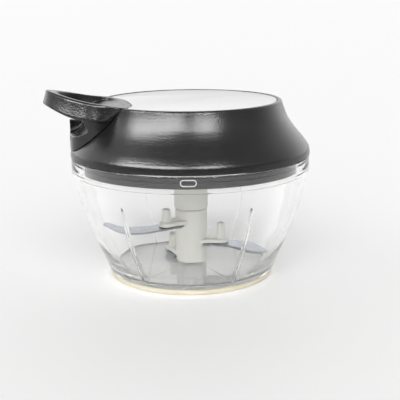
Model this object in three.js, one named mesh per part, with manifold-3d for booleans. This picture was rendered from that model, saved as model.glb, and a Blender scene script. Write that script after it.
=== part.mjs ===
// Pull-cord vegetable chopper: a clear bowl with a three-blade rotor, under a
// lid that holds a sprung cord reel. Pulling the grip unwinds the cord, turns
// the reel and so the rotor; the spiral spring winds the cord back.
// Millimetres, +Z up. Origin: on the table, under the middle of the object's
// length from grip to rim. The axis of bowl, rotor and reel stands at AXIS_X;
// every piece below is drawn about that axis and placed there by add().
import * as THREE from 'three';
import { mergeVertices } from 'three/addons/utils/BufferGeometryUtils.js';
import Module from 'manifold-3d';

const wasm = await Module();
wasm.setup();

// ---------------------------------------------------------------- dimensions
const AXIS_X = 5.385;        // where the axis of bowl, rotor and reel stands
const SEG = 48;              // sides of the large turned pieces
const SEG_S = 24;            // sides of the small turned pieces
const GAP = 0.35;            // running gap between neighbours

const RIM_R = 62.0;          // bowl collar, outside
const RIM_Z = 63.9;          // bowl collar, top edge
const COLLAR_Z = 56.2;       // bowl collar, lower edge
const COLLAR_IN_R = 60.0;    // bowl collar, inside
const FLOOR_Z = 4.6;         // bowl floor, inside
const RING_OUT_R = 43.6;     // non-slip ring
const RING_IN_R = 38.6;
const RING_H = 3.4;
const RIB_ANGLES = [-125, -60, 55, 120];   // inner ribs, degrees
const RIB_PROUD = 2.0;       // how far a rib stands out of the wall
const RIB_T = 1.5;

const LID_TOP_Z = 91.5;      // top plate, upper face
const PLATE_R = 44.9;        // top plate
const PLATE_T = 2.2;
const SHELL_T = 2.3;         // housing wall
const HOUSING_Z0 = 64.35;    // housing, lower edge
const PLUG_R = 59.3;         // lid base where it enters the bowl
const PLUG_Z0 = 57.6;

const GRIP_AZ = -166;        // direction the grip is pulled in, degrees
const NOSE_S = 32.1;         // inner end of the grip from the axis
const NOSE_HALF = 25.5;      // half width of that end
const GRIP_WALL = 3.6;       // thickness of the grip's loop
const GRIP_FACE_R = 61.8;    // outer face of the grip's block
const POCKET_T = 2.0;        // wall of the pocket in the housing

const CORD_R = 1.0;          // pull cord
const CORD_Z = 74.4;         // height of the cord run
const DRUM_R = 14.5;         // reel, under the winding
const WOUND_R = 18.3;        // outside of the winding at rest
const CORD_LEAVES_R = 19.6;  // centre line of the cord where it leaves the winding

const ROTOR_TOP_Z = 35.0;    // blade column
const ROTOR_Z0 = 5.5;
const ARM_TOPS = [29.0, 18.8, 9.2];        // upper faces of the three arms
const ARM_AZ = [-143, -13, 129];           // their directions, degrees
const POST_R_POS = 16.2;     // peg on each arm, from the axis
const POST_H = 7.9;
const BLADE_T = 1.2;

// ------------------------------------------------------------------- helpers
const RAD = Math.PI / 180;

// One closed solid from a three.js geometry: corners merged, empty faces
// dropped, faces turned outwards.
function solid(geometry) {
  const g0 = geometry.index ? geometry.clone() : mergeVertices(geometry.clone(), 1e-5);
  g0.deleteAttribute('normal');
  g0.deleteAttribute('uv');
  const g = mergeVertices(g0, 1e-4);
  const p = g.attributes.position.array;
  const idx = g.index.array;
  let tris = [];
  let vol = 0;
  for (let i = 0; i < idx.length; i += 3) {
    const [a, b, c] = [idx[i], idx[i + 1], idx[i + 2]];
    if (a === b || b === c || a === c) continue;
    tris.push(a, b, c);
    const [ax, ay, az] = [p[3 * a], p[3 * a + 1], p[3 * a + 2]];
    const [bx, by, bz] = [p[3 * b], p[3 * b + 1], p[3 * b + 2]];
    const [cx, cy, cz] = [p[3 * c], p[3 * c + 1], p[3 * c + 2]];
    vol += ax * (by * cz - bz * cy) + ay * (bz * cx - bx * cz) + az * (bx * cy - by * cx);
  }
  if (vol < 0) {
    for (let i = 0; i < tris.length; i += 3) [tris[i + 1], tris[i + 2]] = [tris[i + 2], tris[i + 1]];
  }
  const mesh = new wasm.Mesh({
    numProp: 3,
    vertProperties: new Float32Array(p),
    triVerts: new Uint32Array(tris),
  });
  mesh.merge();
  return new wasm.Manifold(mesh);
}

function geometryOf(man) {
  const m = man.getMesh();
  const g = new THREE.BufferGeometry();
  const n = m.numProp;
  const v = new Float32Array(m.vertProperties.length / n * 3);
  for (let i = 0; i < v.length / 3; i++) {
    v[3 * i] = m.vertProperties[n * i];
    v[3 * i + 1] = m.vertProperties[n * i + 1];
    v[3 * i + 2] = m.vertProperties[n * i + 2];
  }
  g.setAttribute('position', new THREE.BufferAttribute(v, 3));
  g.setIndex(new THREE.BufferAttribute(new Uint32Array(m.triVerts), 1));
  g.computeVertexNormals();
  return g;
}

// Turned solid about +Z from [r, z] points; closed on itself unless both ends
// are on the axis.
function lathe(points, seg = SEG) {
  const pts = points.map(([r, z]) => new THREE.Vector2(r, z));
  const onAxis = points[0][0] === 0 && points[points.length - 1][0] === 0;
  if (!onAxis) pts.push(pts[0].clone());
  const g = new THREE.LatheGeometry(pts, seg);
  g.rotateX(Math.PI / 2);
  return solid(g);
}

const ringOf = (r0, r1, z0, z1, seg = SEG) => lathe([[r0, z0], [r1, z0], [r1, z1], [r0, z1]], seg);
const discOf = (r, z0, z1, seg = SEG_S) => lathe([[0, z0], [r, z0], [r, z1], [0, z1]], seg);

function shapeOf(points) {
  const s = new THREE.Shape();
  points.forEach(([x, y], i) => (i ? s.lineTo(x, y) : s.moveTo(x, y)));
  s.closePath();
  return s;
}

// Plan outline [x, y] lifted from z0 to z1.
function prismZ(points, z0, z1) {
  const g = new THREE.ExtrudeGeometry(shapeOf(points), { depth: z1 - z0, bevelEnabled: false, curveSegments: 1, steps: 1 });
  g.translate(0, 0, z0);
  return solid(g);
}

// Outline [y, z] extruded along X from x0 to x1.
function prismX(points, x0, x1) {
  const g = new THREE.ExtrudeGeometry(shapeOf(points), { depth: x1 - x0, bevelEnabled: false, curveSegments: 1, steps: 1 });
  g.applyMatrix4(new THREE.Matrix4().makeBasis(
    new THREE.Vector3(0, 1, 0), new THREE.Vector3(0, 0, 1), new THREE.Vector3(1, 0, 0)));
  g.translate(x0, 0, 0);
  return solid(g);
}

// Outline [x, z] extruded along -Y from y0 down to y1.
function prismY(points, y0, y1) {
  const g = new THREE.ExtrudeGeometry(shapeOf(points), { depth: y0 - y1, bevelEnabled: false, curveSegments: 1, steps: 1 });
  g.applyMatrix4(new THREE.Matrix4().makeBasis(
    new THREE.Vector3(1, 0, 0), new THREE.Vector3(0, 0, 1), new THREE.Vector3(0, -1, 0)));
  g.translate(0, y0, 0);
  return solid(g);
}

const moved = (man, x, y, z) => man.translate([x, y, z]);
const turned = (man, deg) => man.rotate([0, 0, deg]);

// Stack of closed rings with the same number of points, capped at both ends.
function loft(rings) {
  const n = rings[0].length;
  const v = [];
  const idx = [];
  rings.forEach((r) => r.forEach((q) => v.push(...q)));
  const cap = (k, flip) => {
    const c = [0, 0, 0];
    rings[k].forEach((q) => { c[0] += q[0] / n; c[1] += q[1] / n; c[2] += q[2] / n; });
    const ci = v.length / 3;
    v.push(...c);
    for (let i = 0; i < n; i++) {
      const a = k * n + i;
      const b = k * n + (i + 1) % n;
      idx.push(...(flip ? [ci, b, a] : [ci, a, b]));
    }
  };
  for (let k = 0; k + 1 < rings.length; k++) {
    for (let i = 0; i < n; i++) {
      const j = (i + 1) % n;
      const a = k * n + i, b = k * n + j, c = (k + 1) * n + j, d = (k + 1) * n + i;
      idx.push(a, b, c, a, c, d);
    }
  }
  cap(0, true);
  cap(rings.length - 1, false);
  const g = new THREE.BufferGeometry();
  g.setAttribute('position', new THREE.BufferAttribute(new Float32Array(v), 3));
  g.setIndex(idx);
  return solid(g);
}

function table(rows, z) {
  if (z <= rows[0][0]) return rows[0][1];
  for (let i = 1; i < rows.length; i++) {
    if (z <= rows[i][0]) {
      const [z0, a] = rows[i - 1];
      const [z1, b] = rows[i];
      return a + (b - a) * (z - z0) / (z1 - z0);
    }
  }
  return rows[rows.length - 1][1];
}

const group = new THREE.Group();
function add(name, man, color, roughness = 0.5, metalness = 0) {
  const mesh = new THREE.Mesh(geometryOf(man), new THREE.MeshStandardMaterial({ color, roughness, metalness }));
  mesh.name = name;
  mesh.position.x = AXIS_X;
  group.add(mesh);
  return mesh;
}

const BLACK = 0x232325, CLEAR = 0xe8eef0, WHITE = 0xe6e3da, STEEL = 0xb8bcc2, CREAM = 0xe6dcc0;
const PLATE = 0xe4e5e8, GREY = 0x8d8f92, NATURAL = 0xdcd8cc;

// ---------------------------------------------------------------------- bowl
const WALL_IN = [[4.6, 39.4], [6.5, 41.2], [12, 44.4], [20, 48.4], [28, 51.7], [36, 54.2], [44, 56.2], [52, 57.6], [56.9, 58.1]];
const bowlOuter = [
  [0, 2.4], [37.9, 2.4], [37.9, 3.7], [43.8, 3.7], [44.6, 5.0], [46.0, 9], [49.6, 17], [53.2, 25],
  [56.3, 34], [58.7, 43], [60.1, 50], [60.9, 55.6], [RIM_R, COLLAR_Z], [RIM_R, RIM_Z - 0.4], [RIM_R - 0.4, RIM_Z],
];
const bowlInner = [
  [COLLAR_IN_R + 0.3, RIM_Z], [COLLAR_IN_R, RIM_Z - 0.5], [COLLAR_IN_R, 57.2], [58.1, 56.9],
  [56.2, 44], [54.2, 36], [51.7, 28], [48.4, 20], [44.4, 12], [41.2, 6.5], [37.2, FLOOR_Z],
  [4.4, FLOOR_Z], [4.0, 6.6], [2.3, 6.6], [2.3, 3.4], [0, 3.4],
];
let bowl = lathe([...bowlOuter, ...bowlInner]);
const ribOutline = [
  ...[[46, 0.4], [36, RIB_PROUD], [28, RIB_PROUD], [20, RIB_PROUD], [12, RIB_PROUD], [7, RIB_PROUD + 0.4]]
    .map(([z, p]) => [table(WALL_IN, z) - p, z]),
  [37.6, 4.2], [40.2, 4.2], [46.0, 12], [50.0, 20], [53.2, 28], [55.6, 36], [57.4, 45], [57.4, 47.0],
];
for (const az of RIB_ANGLES) bowl = bowl.add(turned(prismY(ribOutline, RIB_T / 2, -RIB_T / 2), az));
add('bowl', bowl, CLEAR, 0.05);

add('non_slip_ring', lathe([
  [RING_IN_R, 0.3], [RING_IN_R + 0.3, 0], [RING_OUT_R - 0.5, 0], [RING_OUT_R, 0.6],
  [RING_OUT_R + 0.1, RING_H - 0.5], [RING_OUT_R - 0.3, RING_H], [RING_IN_R, RING_H],
]), CREAM, 0.7);

add('pivot_pin', lathe([[0, 3.8], [2.0, 3.8], [2.0, 22.4], [1.2, 23.6], [0, 23.6]], 16), STEEL, 0.25, 1);

// --------------------------------------------------------------------- rotor
// Hexagonal drive socket in the top.
const hex = (af, z0, z1) => {
  const r = af / 2 / Math.cos(30 * RAD);
  return prismZ([0, 1, 2, 3, 4, 5].map((i) => [r * Math.cos((60 * i) * RAD), r * Math.sin((60 * i) * RAD)]), z0, z1);
};
let column = lathe([
  [0, ROTOR_Z0], [7.6, ROTOR_Z0], [8.1, ROTOR_Z0 + 0.6], [8.3, 16], [8.7, 34.4], [8.5, ROTOR_TOP_Z], [0, ROTOR_TOP_Z],
], 36)
  .subtract(discOf(2.4, ROTOR_Z0 - 1, 24.4, 16))
  .subtract(discOf(4.7, ROTOR_Z0 - 1, 7.9, 16))
  .subtract(hex(11.0, 28.2, ROTOR_TOP_Z + 1));

// Arm plan, along +X: wide at the column, round about the peg.
const armPlan = (() => {
  const p = [[2, -5.9], [8.6, -5.4], [12.5, -4.3]];
  for (let a = -90; a <= 90; a += 30) p.push([POST_R_POS + 4.1 * Math.cos(a * RAD), 4.1 * Math.sin(a * RAD)]);
  p.push([12.5, 4.3], [8.6, 5.4], [2, 5.9]);
  return p;
})();
ARM_TOPS.forEach((zt, i) => {
  let arm = prismZ(armPlan, zt - 2.2, zt);
  arm = arm.add(moved(lathe([[0, zt - 1], [2.35, zt - 1], [2.2, zt + POST_H - 0.5], [1.8, zt + POST_H], [0, zt + POST_H]], 16), POST_R_POS, 0, 0));
  arm = arm.subtract(moved(discOf(1.1, zt + 2, zt + POST_H + 1, 12), POST_R_POS, 0, 0));
  column = column.add(turned(arm, ARM_AZ[i]));
});
column = column.subtract(discOf(2.4, ROTOR_Z0 - 1, 24.4, 16)).subtract(hex(11.0, 28.2, ROTOR_TOP_Z + 1))
  .subtract(discOf(4.7, ROTOR_Z0 - 1, 7.9, 16));

// Blade plans in the rotor's frame, root first. Each root goes into a slot
// in the column, under its arm.
const BLADES = [
  { name: 'blade_upper', arm: 0, az: 0, tip: [
    [-5.0, -9.2], [-11.0, -13.6], [-16.2, -16.2], [-21.3, -18.6], [-26.4, -19.8], [-30.5, -19.9], [-34.4, -18.8],
    [-38.2, -15.6], [-41.6, -11.0], [-45.0, -5.8], [-47.4, -1.6], [-46.4, -0.8], [-44.4, -1.4], [-41.8, -3.6],
    [-38.6, -6.4], [-35.2, -8.3], [-32.0, -9.2], [-28.0, -9.2], [-24.2, -8.6], [-20.4, -7.0], [-16.0, -4.0], [-8.4, -1.6]] },
  { name: 'blade_middle', arm: 1, az: 0, tip: [
    [6.0, -7.0], [12.6, -8.6], [18.6, -10.6], [23.2, -14.6], [27.0, -18.2], [31.0, -20.6], [35.0, -21.4],
    [38.4, -19.8], [38.0, -17.6], [35.6, -12.6], [32.6, -7.2], [29.0, -2.8], [24.6, 0.6], [20.4, 2.6], [14.0, 3.4], [7.6, 3.2]] },
  { name: 'blade_lower', arm: 2, az: 0, tip: [
    [-9.0, 2.0], [-13.2, 7.4], [-14.9, 12.6], [-14.6, 18.8], [-12.6, 24.8], [-8.8, 30.6], [-3.6, 34.2],
    [1.8, 35.8], [4.8, 35.6], [4.6, 34.4], [1.2, 31.8], [-2.0, 27.8], [-3.6, 22.8], [-4.2, 17.8], [-3.6, 13.4], [-2.4, 8.6]] },
];
const bladeMans = BLADES.map((b) => {
  const zt = ARM_TOPS[b.arm] - 2.2 - 0.3;
  const z0 = zt - BLADE_T;
  const a = ARM_AZ[b.arm] * RAD;
  // Root tongue that runs into the column, 5.3 mm short of the axis.
  const c = Math.cos(a), s = Math.sin(a);
  const root = (x, y) => [x * c - y * s, x * s + y * c];
  const tongue = prismZ([root(5.3, -3.2), root(13.5, -3.8), root(13.5, 3.8), root(5.3, 3.2)], z0, zt);
  let blade = prismZ(b.tip, z0, zt).subtract(discOf(9.4, z0 - 1, zt + 1, 36));
  blade = blade.add(tongue);
  const slot = prismZ([root(4.9, -3.55), root(20, -4.2), root(20, 4.2), root(4.9, 3.55)], z0 - 0.3, zt + 0.3);
  column = column.subtract(slot.intersect(discOf(11, z0 - 2, zt + 2, 48)));
  return blade;
});
column = column.subtract(discOf(2.4, ROTOR_Z0 - 1, 24.4, 16));
add('blade_column', column, WHITE, 0.55);
BLADES.forEach((b, i) => add(b.name, bladeMans[i], STEEL, 0.22, 1));

// ------------------------------------------------------------------- housing
// Outer profile of the lid's shell: upright at the rim of the bowl, an ogee
// in to the top.
const SHELL = [[64.35, 62.3], [66, 62.15], [67.4, 61.95], [68.3, 61.6], [69.3, 60.95], [71, 59.7], [74, 57.2], [77, 54.7], [80, 52.5], [83.5, 50.4], [88, 48.6], [90.6, 47.8], [91.4, 47.2], [91.7, 46.4]];
const shellR = (z) => table(SHELL, z);
const outerSolid = lathe([[0, HOUSING_Z0], ...SHELL.map(([z, r]) => [r, z]), [0, 91.7]]);
const TOPWALL_Z0 = 87.0, TOPWALL_Z1 = 89.0;
let housing = lathe([
  [60.4, HOUSING_Z0], ...SHELL.map(([z, r]) => [r, z]), [PLATE_R + GAP, 91.7], [PLATE_R + GAP, TOPWALL_Z1], [0, TOPWALL_Z1],
  [0, TOPWALL_Z0], [46.2, TOPWALL_Z0], ...[...SHELL].reverse().filter(([z]) => [68.5, 74, 80, 83.5].includes(z)).map(([z, r]) => [r - SHELL_T, z]), [60.4, 66.4],
]);

// The grip's block in plan at each height, in the grip's frame: +X outwards
// along the pull, Y across. Its face is flush with the rim of the lid.
const U_HALF = [[68.6, 2.0], [69.0, 5.2], [69.8, 8.0], [71.1, 10.4], [72.7, 12.4], [74.6, 14.5], [77.3, 16.4], [80.1, 18.3], [82.5, 19.9], [86.6, 22.4], [91.1, 25.1], [92.6, 25.6]];
const BLOCK_Z = U_HALF.map(([z]) => z);
const noseS = (y, off) => NOSE_S - off + 6.5 * (Math.abs(y) / (NOSE_HALF + off)) ** 3;
function noseSide(T, off, z) {
  const ring = [];
  const corner = Math.min(3.0, T * 0.6);
  for (let i = 0; i <= 8; i++) {
    const y = -T + corner + (2 * (T - corner)) * i / 8;
    ring.push([noseS(y, off), y, z]);
  }
  return [ring, noseS(T - corner, off), corner];
}
function blockRing(z) {
  const T = table(U_HALF, z);
  const [ring, c, k] = noseSide(T, 0, z);
  ring.push([c + 0.35 * k, T - 0.25 * k, z], [c + 0.9 * k, T, z]);
  const R = shellR(Math.min(z, 90));
  const seam = Math.max(Math.sqrt(Math.max(R * R - T * T, 0)), c + 4.0);
  const M = 14;
  for (let i = 0; i <= M; i++) {
    const y = T * Math.cos(Math.PI * i / M);
    const face = Math.sqrt(GRIP_FACE_R ** 2 - y * y);
    ring.push([seam + (face - seam) * Math.max(1 - (Math.abs(y) / T) ** 5, 0) ** 0.5, y, z]);
  }
  ring.push([c + 0.9 * k, -T, z], [c + 0.35 * k, -T + 0.25 * k, z]);
  return ring;
}
const block = loft(BLOCK_Z.map(blockRing));
// Room for it in the housing and the top plate, open outwards and upwards.
function pocketRings(off) {
  return BLOCK_Z.map((z) => {
    const T = table(U_HALF, z) + off;
    const [ring, c, k] = noseSide(T, off, z - off);
    ring.push([c + 0.35 * k, T - 0.25 * k, z - off], [c + 0.9 * k, T, z - off], [90, T, z - off],
      [90, -T, z - off], [c + 0.9 * k, -T, z - off], [c + 0.35 * k, -T + 0.25 * k, z - off]);
    return ring;
  });
}
const pocket = pocketRings(GAP);
const cutter = loft([...pocket, pocket[pocket.length - 1].map(([x, y]) => [x, y, 110])]);
const pocketOuter = loft(pocketRings(GAP + POCKET_T));

const G = (man) => turned(man, GRIP_AZ);
housing = housing.add(G(pocketOuter).intersect(outerSolid.subtract(lathe([[0, 64], [60.4, 64], [60.4, 66.4], [0, 66.4]]))));
housing = housing.subtract(G(cutter));
housing = housing.subtract(lathe([[0, TOPWALL_Z1], [PLATE_R + GAP, TOPWALL_Z1], [PLATE_R + GAP, 95], [0, 95]]));
// Bosses: centre boss that carries the reel's axle and the spring's inner
// end, and four screw bosses.
const SCREW_AZ = [35, 125, -45, -115];
const SCREW_R = 49.6;
housing = housing.add(discOf(6.0, 79.4, TOPWALL_Z0 + 0.5, 20));
housing = housing.subtract(discOf(2.8, 78, 85.6, 16));
for (const az of SCREW_AZ) {
  const x = SCREW_R * Math.cos(az * RAD), y = SCREW_R * Math.sin(az * RAD);
  housing = housing.add(moved(discOf(3.6, 62.8, 82, 12), x, y, 0).intersect(outerSolid.add(discOf(58, 62, 70, 48))));
  housing = housing.subtract(moved(discOf(1.65, 60, 75, 10), x, y, 0));
}
// Cord hole through the pocket wall, and the seat of its eyelet.
const alongGrip = (r, s0, s1, z, seg = 20) => {
  const g = new THREE.CylinderGeometry(r, r, s1 - s0, seg);
  g.rotateZ(-Math.PI / 2);
  g.translate((s0 + s1) / 2, 0, z);
  return solid(g);
};
housing = housing.subtract(G(alongGrip(2.3, 26, 36, CORD_Z)));
add('housing', housing, BLACK, 0.45);

// Top plate with the bite for the grip.
const plate = lathe([[0, LID_TOP_Z - PLATE_T], [PLATE_R, LID_TOP_Z - PLATE_T], [PLATE_R, LID_TOP_Z - 0.4], [PLATE_R - 0.4, LID_TOP_Z], [0, LID_TOP_Z]])
  .subtract(G(cutter));
add('top_plate', plate, PLATE, 0.3);

// ---------------------------------------------------------------------- grip
// Upper face of the grip, and the height of its loop, by distance from the axis.
const topZ = (s) => 91.2 + 0.091 * (s - 32) + 4.0 * ((s - 32) / 40) ** 2;
const bandH = (s) => table([[34, 7.6], [48, 8.45], [62, 9.1], [74, 7.0]], s);
const LOOP_HALF = [[32.15, 3], [32.4, 9], [32.9, 13.5], [34, 17.2], [35.5, 20.6], [37, 23], [38.6, 24.6], [40.2, 25], [42, 24.5], [44.5, 23.7],
  [47, 23.1], [50, 22.7], [53, 22.4], [56, 21.9], [59, 20.8], [62, 19], [65, 16.3], [68, 12.6], [70.5, 9], [72.2, 6], [73.2, 3.4], [73.6, 1.4]];
const bar = (s, w0, z0, w1, z1) => [[s, -w0, z0], [s, w0, z0], [s, w1, z1], [s, -w1, z1]];
// Its sides lean: the lower edge stands out at the tip and tucks in at the root.
const loop = loft(LOOP_HALF.map(([s, w]) => {
  const z0 = topZ(s) - bandH(s), z1 = topZ(s);
  const tip = Math.min(Math.max((s - 52) / 16, 0), 1), root = Math.min(Math.max((s - 41) / 11, 0), 1) ** 1.3;
  const tuck = (z) => (1 - root) * Math.max(w - table(U_HALF, z) - 0.1, 0);
  const low = w + 1.5 * root * Math.min(w / 8, 1) - tuck(z0), high = w - 0.4 * root * Math.min(w / 8, 1) - tuck(z1);
  return [[s + 1.1 * tip, -low, z0], [s + 1.1 * tip, low, z0], [s - 0.9 * tip, high, z1], [s - 0.9 * tip, -high, z1]];
}));
const underTop = loft([[31.9, 6], ...LOOP_HALF].map(([s, w]) => bar(s, Math.max(w, 3) - 0.15, 55, Math.max(w, 3) - 0.15, topZ(s) - 0.02)));
const outerFat = lathe([[0, HOUSING_Z0 - 1], ...SHELL.map(([z, r]) => [r + GAP, z]), [0, 91.75]]);
const loopOut = loop.subtract(G(outerFat).rotate([0, 0, -GRIP_AZ]));
let grip = block.intersect(underTop).add(loopOut);

// Finger space: it rolls over from the nose, runs down and leaves through the
// opening under the loop.
const roll = [[35.7, 91.0], [38, 90.9], [41, 90.6], [44, 90.2], [47, 89.4], [49.5, 88.1], [51.2, 86.3], [52.4, 84.3], [53.4, 82.3], [54.6, 80.5], [56.3, 78.7], [58.3, 77.1], [60.5, 75.7], [62.5, 74.7], [66, 73.5], [90, 72.5], [90, 110], [35.7, 110]];
const aboveRoll = prismY(roll, 40, -40);
const INNER_HALF = [[35.7, 9], [36.5, 13.5], [38, 17.5], [40, 20.2], [42, 20.9], [44.5, 20.4], [47, 19.9], [50, 19.5], [52.7, 19.1], [55.4, 18.4], [58, 17.2], [60.6, 15.4], [63.2, 12.7], [65.9, 9.0], [67.0, 5.8], [67.6, 2.4]];
const inLoop = loft(INNER_HALF.map(([s, w]) => {
  const z = topZ(s), h = bandH(s), low = Math.min(w, 15.2);
  return [[s, -low, z - h - 4], [s, low, z - h - 4], [s, w, z - h + 1.2], [s, w, z + 8], [s, -w, z + 8], [s, -w, z - h + 1.2]];
}));
const eye = (s, a, b) => Array.from({ length: 20 }, (_, i) => {
  const q = 2 * Math.PI * i / 20;
  return [s, (Math.cos(q) > 0 ? a : b) * Math.cos(q), 80.4 + (Math.sin(q) > 0 ? 6.2 : 5.8) * Math.sin(q)];
});
const opening = loft([[38, 14, 13.4], [52, 14, 13.4], [54.5, 15.2, 13.5], [56.5, 17.4, 13.6], [58.5, 20, 13.7], [61, 23.5, 13.8], [66, 30, 14.2]].map(([s, a, b]) => eye(s, a, b)));
grip = grip.subtract(inLoop.intersect(aboveRoll)).subtract(opening.intersect(aboveRoll));
// Cord hole, and the counterbore that the knot sits in.
grip = grip.subtract(alongGrip(1.7, 28, 58, CORD_Z, 16)).subtract(alongGrip(3.2, 46.5, 62, CORD_Z, 16));
add('grip', G(grip), BLACK, 0.35);

// ---------------------------------------------------------------- pull cord
const knot = (() => {
  const k = new THREE.SphereGeometry(2.5, 10, 7);
  k.scale(1.15, 1, 0.95);
  k.translate(50.2, 0, CORD_Z);
  return solid(k);
})();
add('cord_knot', G(knot), 0xf0efe8, 0.9);

const eyelet = (() => {
  const prof = [[1.6, 29.0], [3.3, 29.0], [3.3, 29.35], [2.0, 29.4], [2.0, 31.4], [1.45, 31.4]].map(([r, s]) => new THREE.Vector2(r, s));
  prof.push(prof[0].clone());
  const g = new THREE.LatheGeometry(prof, 14);
  g.rotateZ(-Math.PI / 2);
  g.translate(0, 0, CORD_Z);
  return solid(g);
})();
add('cord_eyelet', G(eyelet), STEEL, 0.3, 1);

const tangent = Math.acos(CORD_LEAVES_R / 28.4);
const leave = [CORD_LEAVES_R * Math.cos(tangent), -CORD_LEAVES_R * Math.sin(tangent)];
const cordPath = new THREE.CatmullRomCurve3([
  ...[0.0, 0.3, 0.6, 0.85].map((k) => [leave[0] + (28.4 - leave[0]) * k, leave[1] * (1 - k), CORD_Z - 0.8 * (1 - k)]),
  [29.4, -0.06, CORD_Z], [32, 0, CORD_Z], [38, 0, CORD_Z], [47.0, 0, CORD_Z],
].map((q) => new THREE.Vector3(...q)));
const circle = (r, n) => shapeOf(Array.from({ length: n }, (_, i) => [r * Math.cos(2 * Math.PI * i / n), r * Math.sin(2 * Math.PI * i / n)]));
add('pull_cord', G(solid(new THREE.ExtrudeGeometry(circle(CORD_R, 8), { extrudePath: cordPath, steps: 16, bevelEnabled: false }))), 0xf0efe8, 0.9);

// ---------------------------------------------------------------------- reel
const REEL_Z0 = 69.2;
add('cord_reel', lathe([
  [0, 41.4], [4.7, 41.4], [4.7, 57.3], [6.5, 57.6], [6.5, REEL_Z0 - 1.0], [9.0, REEL_Z0 - 1.0], [9.0, REEL_Z0], [24.6, REEL_Z0], [25.0, REEL_Z0 + 0.4], [25.0, REEL_Z0 + 1.4],
  [DRUM_R, REEL_Z0 + 1.8], [DRUM_R, 76.4], [25.0, 76.8], [25.0, 83.6], [23.4, 83.6], [23.4, 78.2], [4.6, 78.2], [4.6, 78.6], [2.85, 78.6], [2.85, 62.0], [0, 62.0],
], 36).subtract(discOf(1.6, 40, 50, 12)), WHITE, 0.5);
add('wound_cord', ringOf(DRUM_R + 0.3, WOUND_R, REEL_Z0 + 2.1, 76.0, 32), 0xf0efe8, 0.9);
add('spring_cover', lathe([[8.6, 83.95], [24.9, 83.95], [24.9, 84.95], [8.6, 84.95]], 32), GREY, 0.5);
add('reel_axle', lathe([[0, 62.4], [0.5, 62.3], [2.5, 62.8], [2.5, 84.9], [2.1, 85.3], [0, 85.3]], 16), STEEL, 0.25, 1);

// Spiral spring: its inner end is held by the housing's centre boss and its
// outer end by the reel.
const spring = (() => {
  const turns = 6, r0 = 6.5, r1 = 22.6, t = 0.5, n = turns * 16;
  const outer = [], inner = [];
  for (let i = 0; i <= n; i++) {
    const a = 2 * Math.PI * turns * i / n;
    const r = r0 + (r1 - r0 - t) * i / n;
    outer.push([(r + t) * Math.cos(a), (r + t) * Math.sin(a)]);
    inner.push([r * Math.cos(a), r * Math.sin(a)]);
  }
  return prismZ([...outer, ...inner.reverse()], 78.9, 83.4);
})();
add('spiral_spring', spring, 0x9aa0a8, 0.3, 1);

// ------------------------------------------------------------------ lid base
let base = lathe([
  [9.6, PLUG_Z0], [57.6, PLUG_Z0], [58.4, PLUG_Z0 + 0.3], [PLUG_R, 58.6], [PLUG_R, 60.2], [57.2, 60.2], [57.2, 62.6], [PLUG_R, 62.6], [PLUG_R, 65.9], [57.0, 65.9],
  [55.2, 65.0], [55.2, 59.8], [12.4, 59.8], [12.4, 63.2], [9.6, 63.2],
]);
for (const az of SCREW_AZ) {
  const x = SCREW_R * Math.cos(az * RAD), y = SCREW_R * Math.sin(az * RAD);
  base = base.add(moved(discOf(4.9, 59.0, 62.4, 14), x, y, 0));
  base = base.subtract(moved(discOf(3.3, 57, 60.6, 14), x, y, 0)).subtract(moved(discOf(1.75, 57, 64, 10), x, y, 0));
}
add('lid_base', base, BLACK, 0.4);
add('seal_ring', lathe([[57.5, 60.5], [59.1, 60.5], [59.7, 61.0], [59.7, 61.8], [59.1, 62.3], [57.5, 62.3]]), 0x3a3b3d, 0.6);
add('reel_bushing', lathe([[6.85, 58.2], [9.25, 58.2], [9.25, 63.55], [11.6, 63.55], [11.6, 67.4], [6.85, 67.4]], 24), NATURAL, 0.5);
SCREW_AZ.forEach((az, i) => {
  const s = lathe([[0, 57.9], [2.5, 57.9], [2.9, 58.4], [2.9, 60.2], [1.35, 60.25], [1.35, 73.2], [0.6, 74.4], [0, 74.4]], 12)
    .subtract(prismZ([[-0.35, -1.7], [0.35, -1.7], [0.35, 1.7], [-0.35, 1.7]], 57, 59.1))
    .subtract(prismZ([[-1.7, -0.35], [1.7, -0.35], [1.7, 0.35], [-1.7, 0.35]], 57, 59.1));
  add(`cover_screw_${i + 1}`, moved(s, SCREW_R * Math.cos(az * RAD), SCREW_R * Math.sin(az * RAD), 0), STEEL, 0.3, 1);
});

// ------------------------------------------------------------ drive coupling
// Sleeve on the reel's stub, with the hexagon that turns the blade column.
let coupling = lathe([
  [0, 29.2], [6.0, 29.2], [6.0, 35.4], [8.8, 35.4], [9.0, 36.0], [9.1, 41.5], [9.35, 45.0], [9.9, 48.5], [10.6, 52.0], [11.3, 56.9], [5.05, 56.9], [5.05, 41.0], [0, 41.0],
], 32);
coupling = coupling.subtract(ringOf(3.5, 12, 28, 35.35, 32)).add(hex(10.2, 29.2, 36.2)).subtract(discOf(3.2, 28, 38.2, 14)).subtract(discOf(1.75, 36, 42, 12));
add('drive_coupling', coupling, WHITE, 0.5);
add('coupling_screw', lathe([[0, 35.2], [2.2, 35.2], [2.7, 35.8], [2.7, 37.8], [1.35, 37.85], [1.35, 48.4], [0.7, 49.4], [0, 49.4]], 12)
  .subtract(prismZ([[-0.35, -1.6], [0.35, -1.6], [0.35, 1.6], [-0.35, 1.6]], 34, 36.3)), STEEL, 0.3, 1);

export default group;
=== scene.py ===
import math

import bmesh
import bpy
import numpy as np
from mathutils import Matrix, Vector


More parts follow.
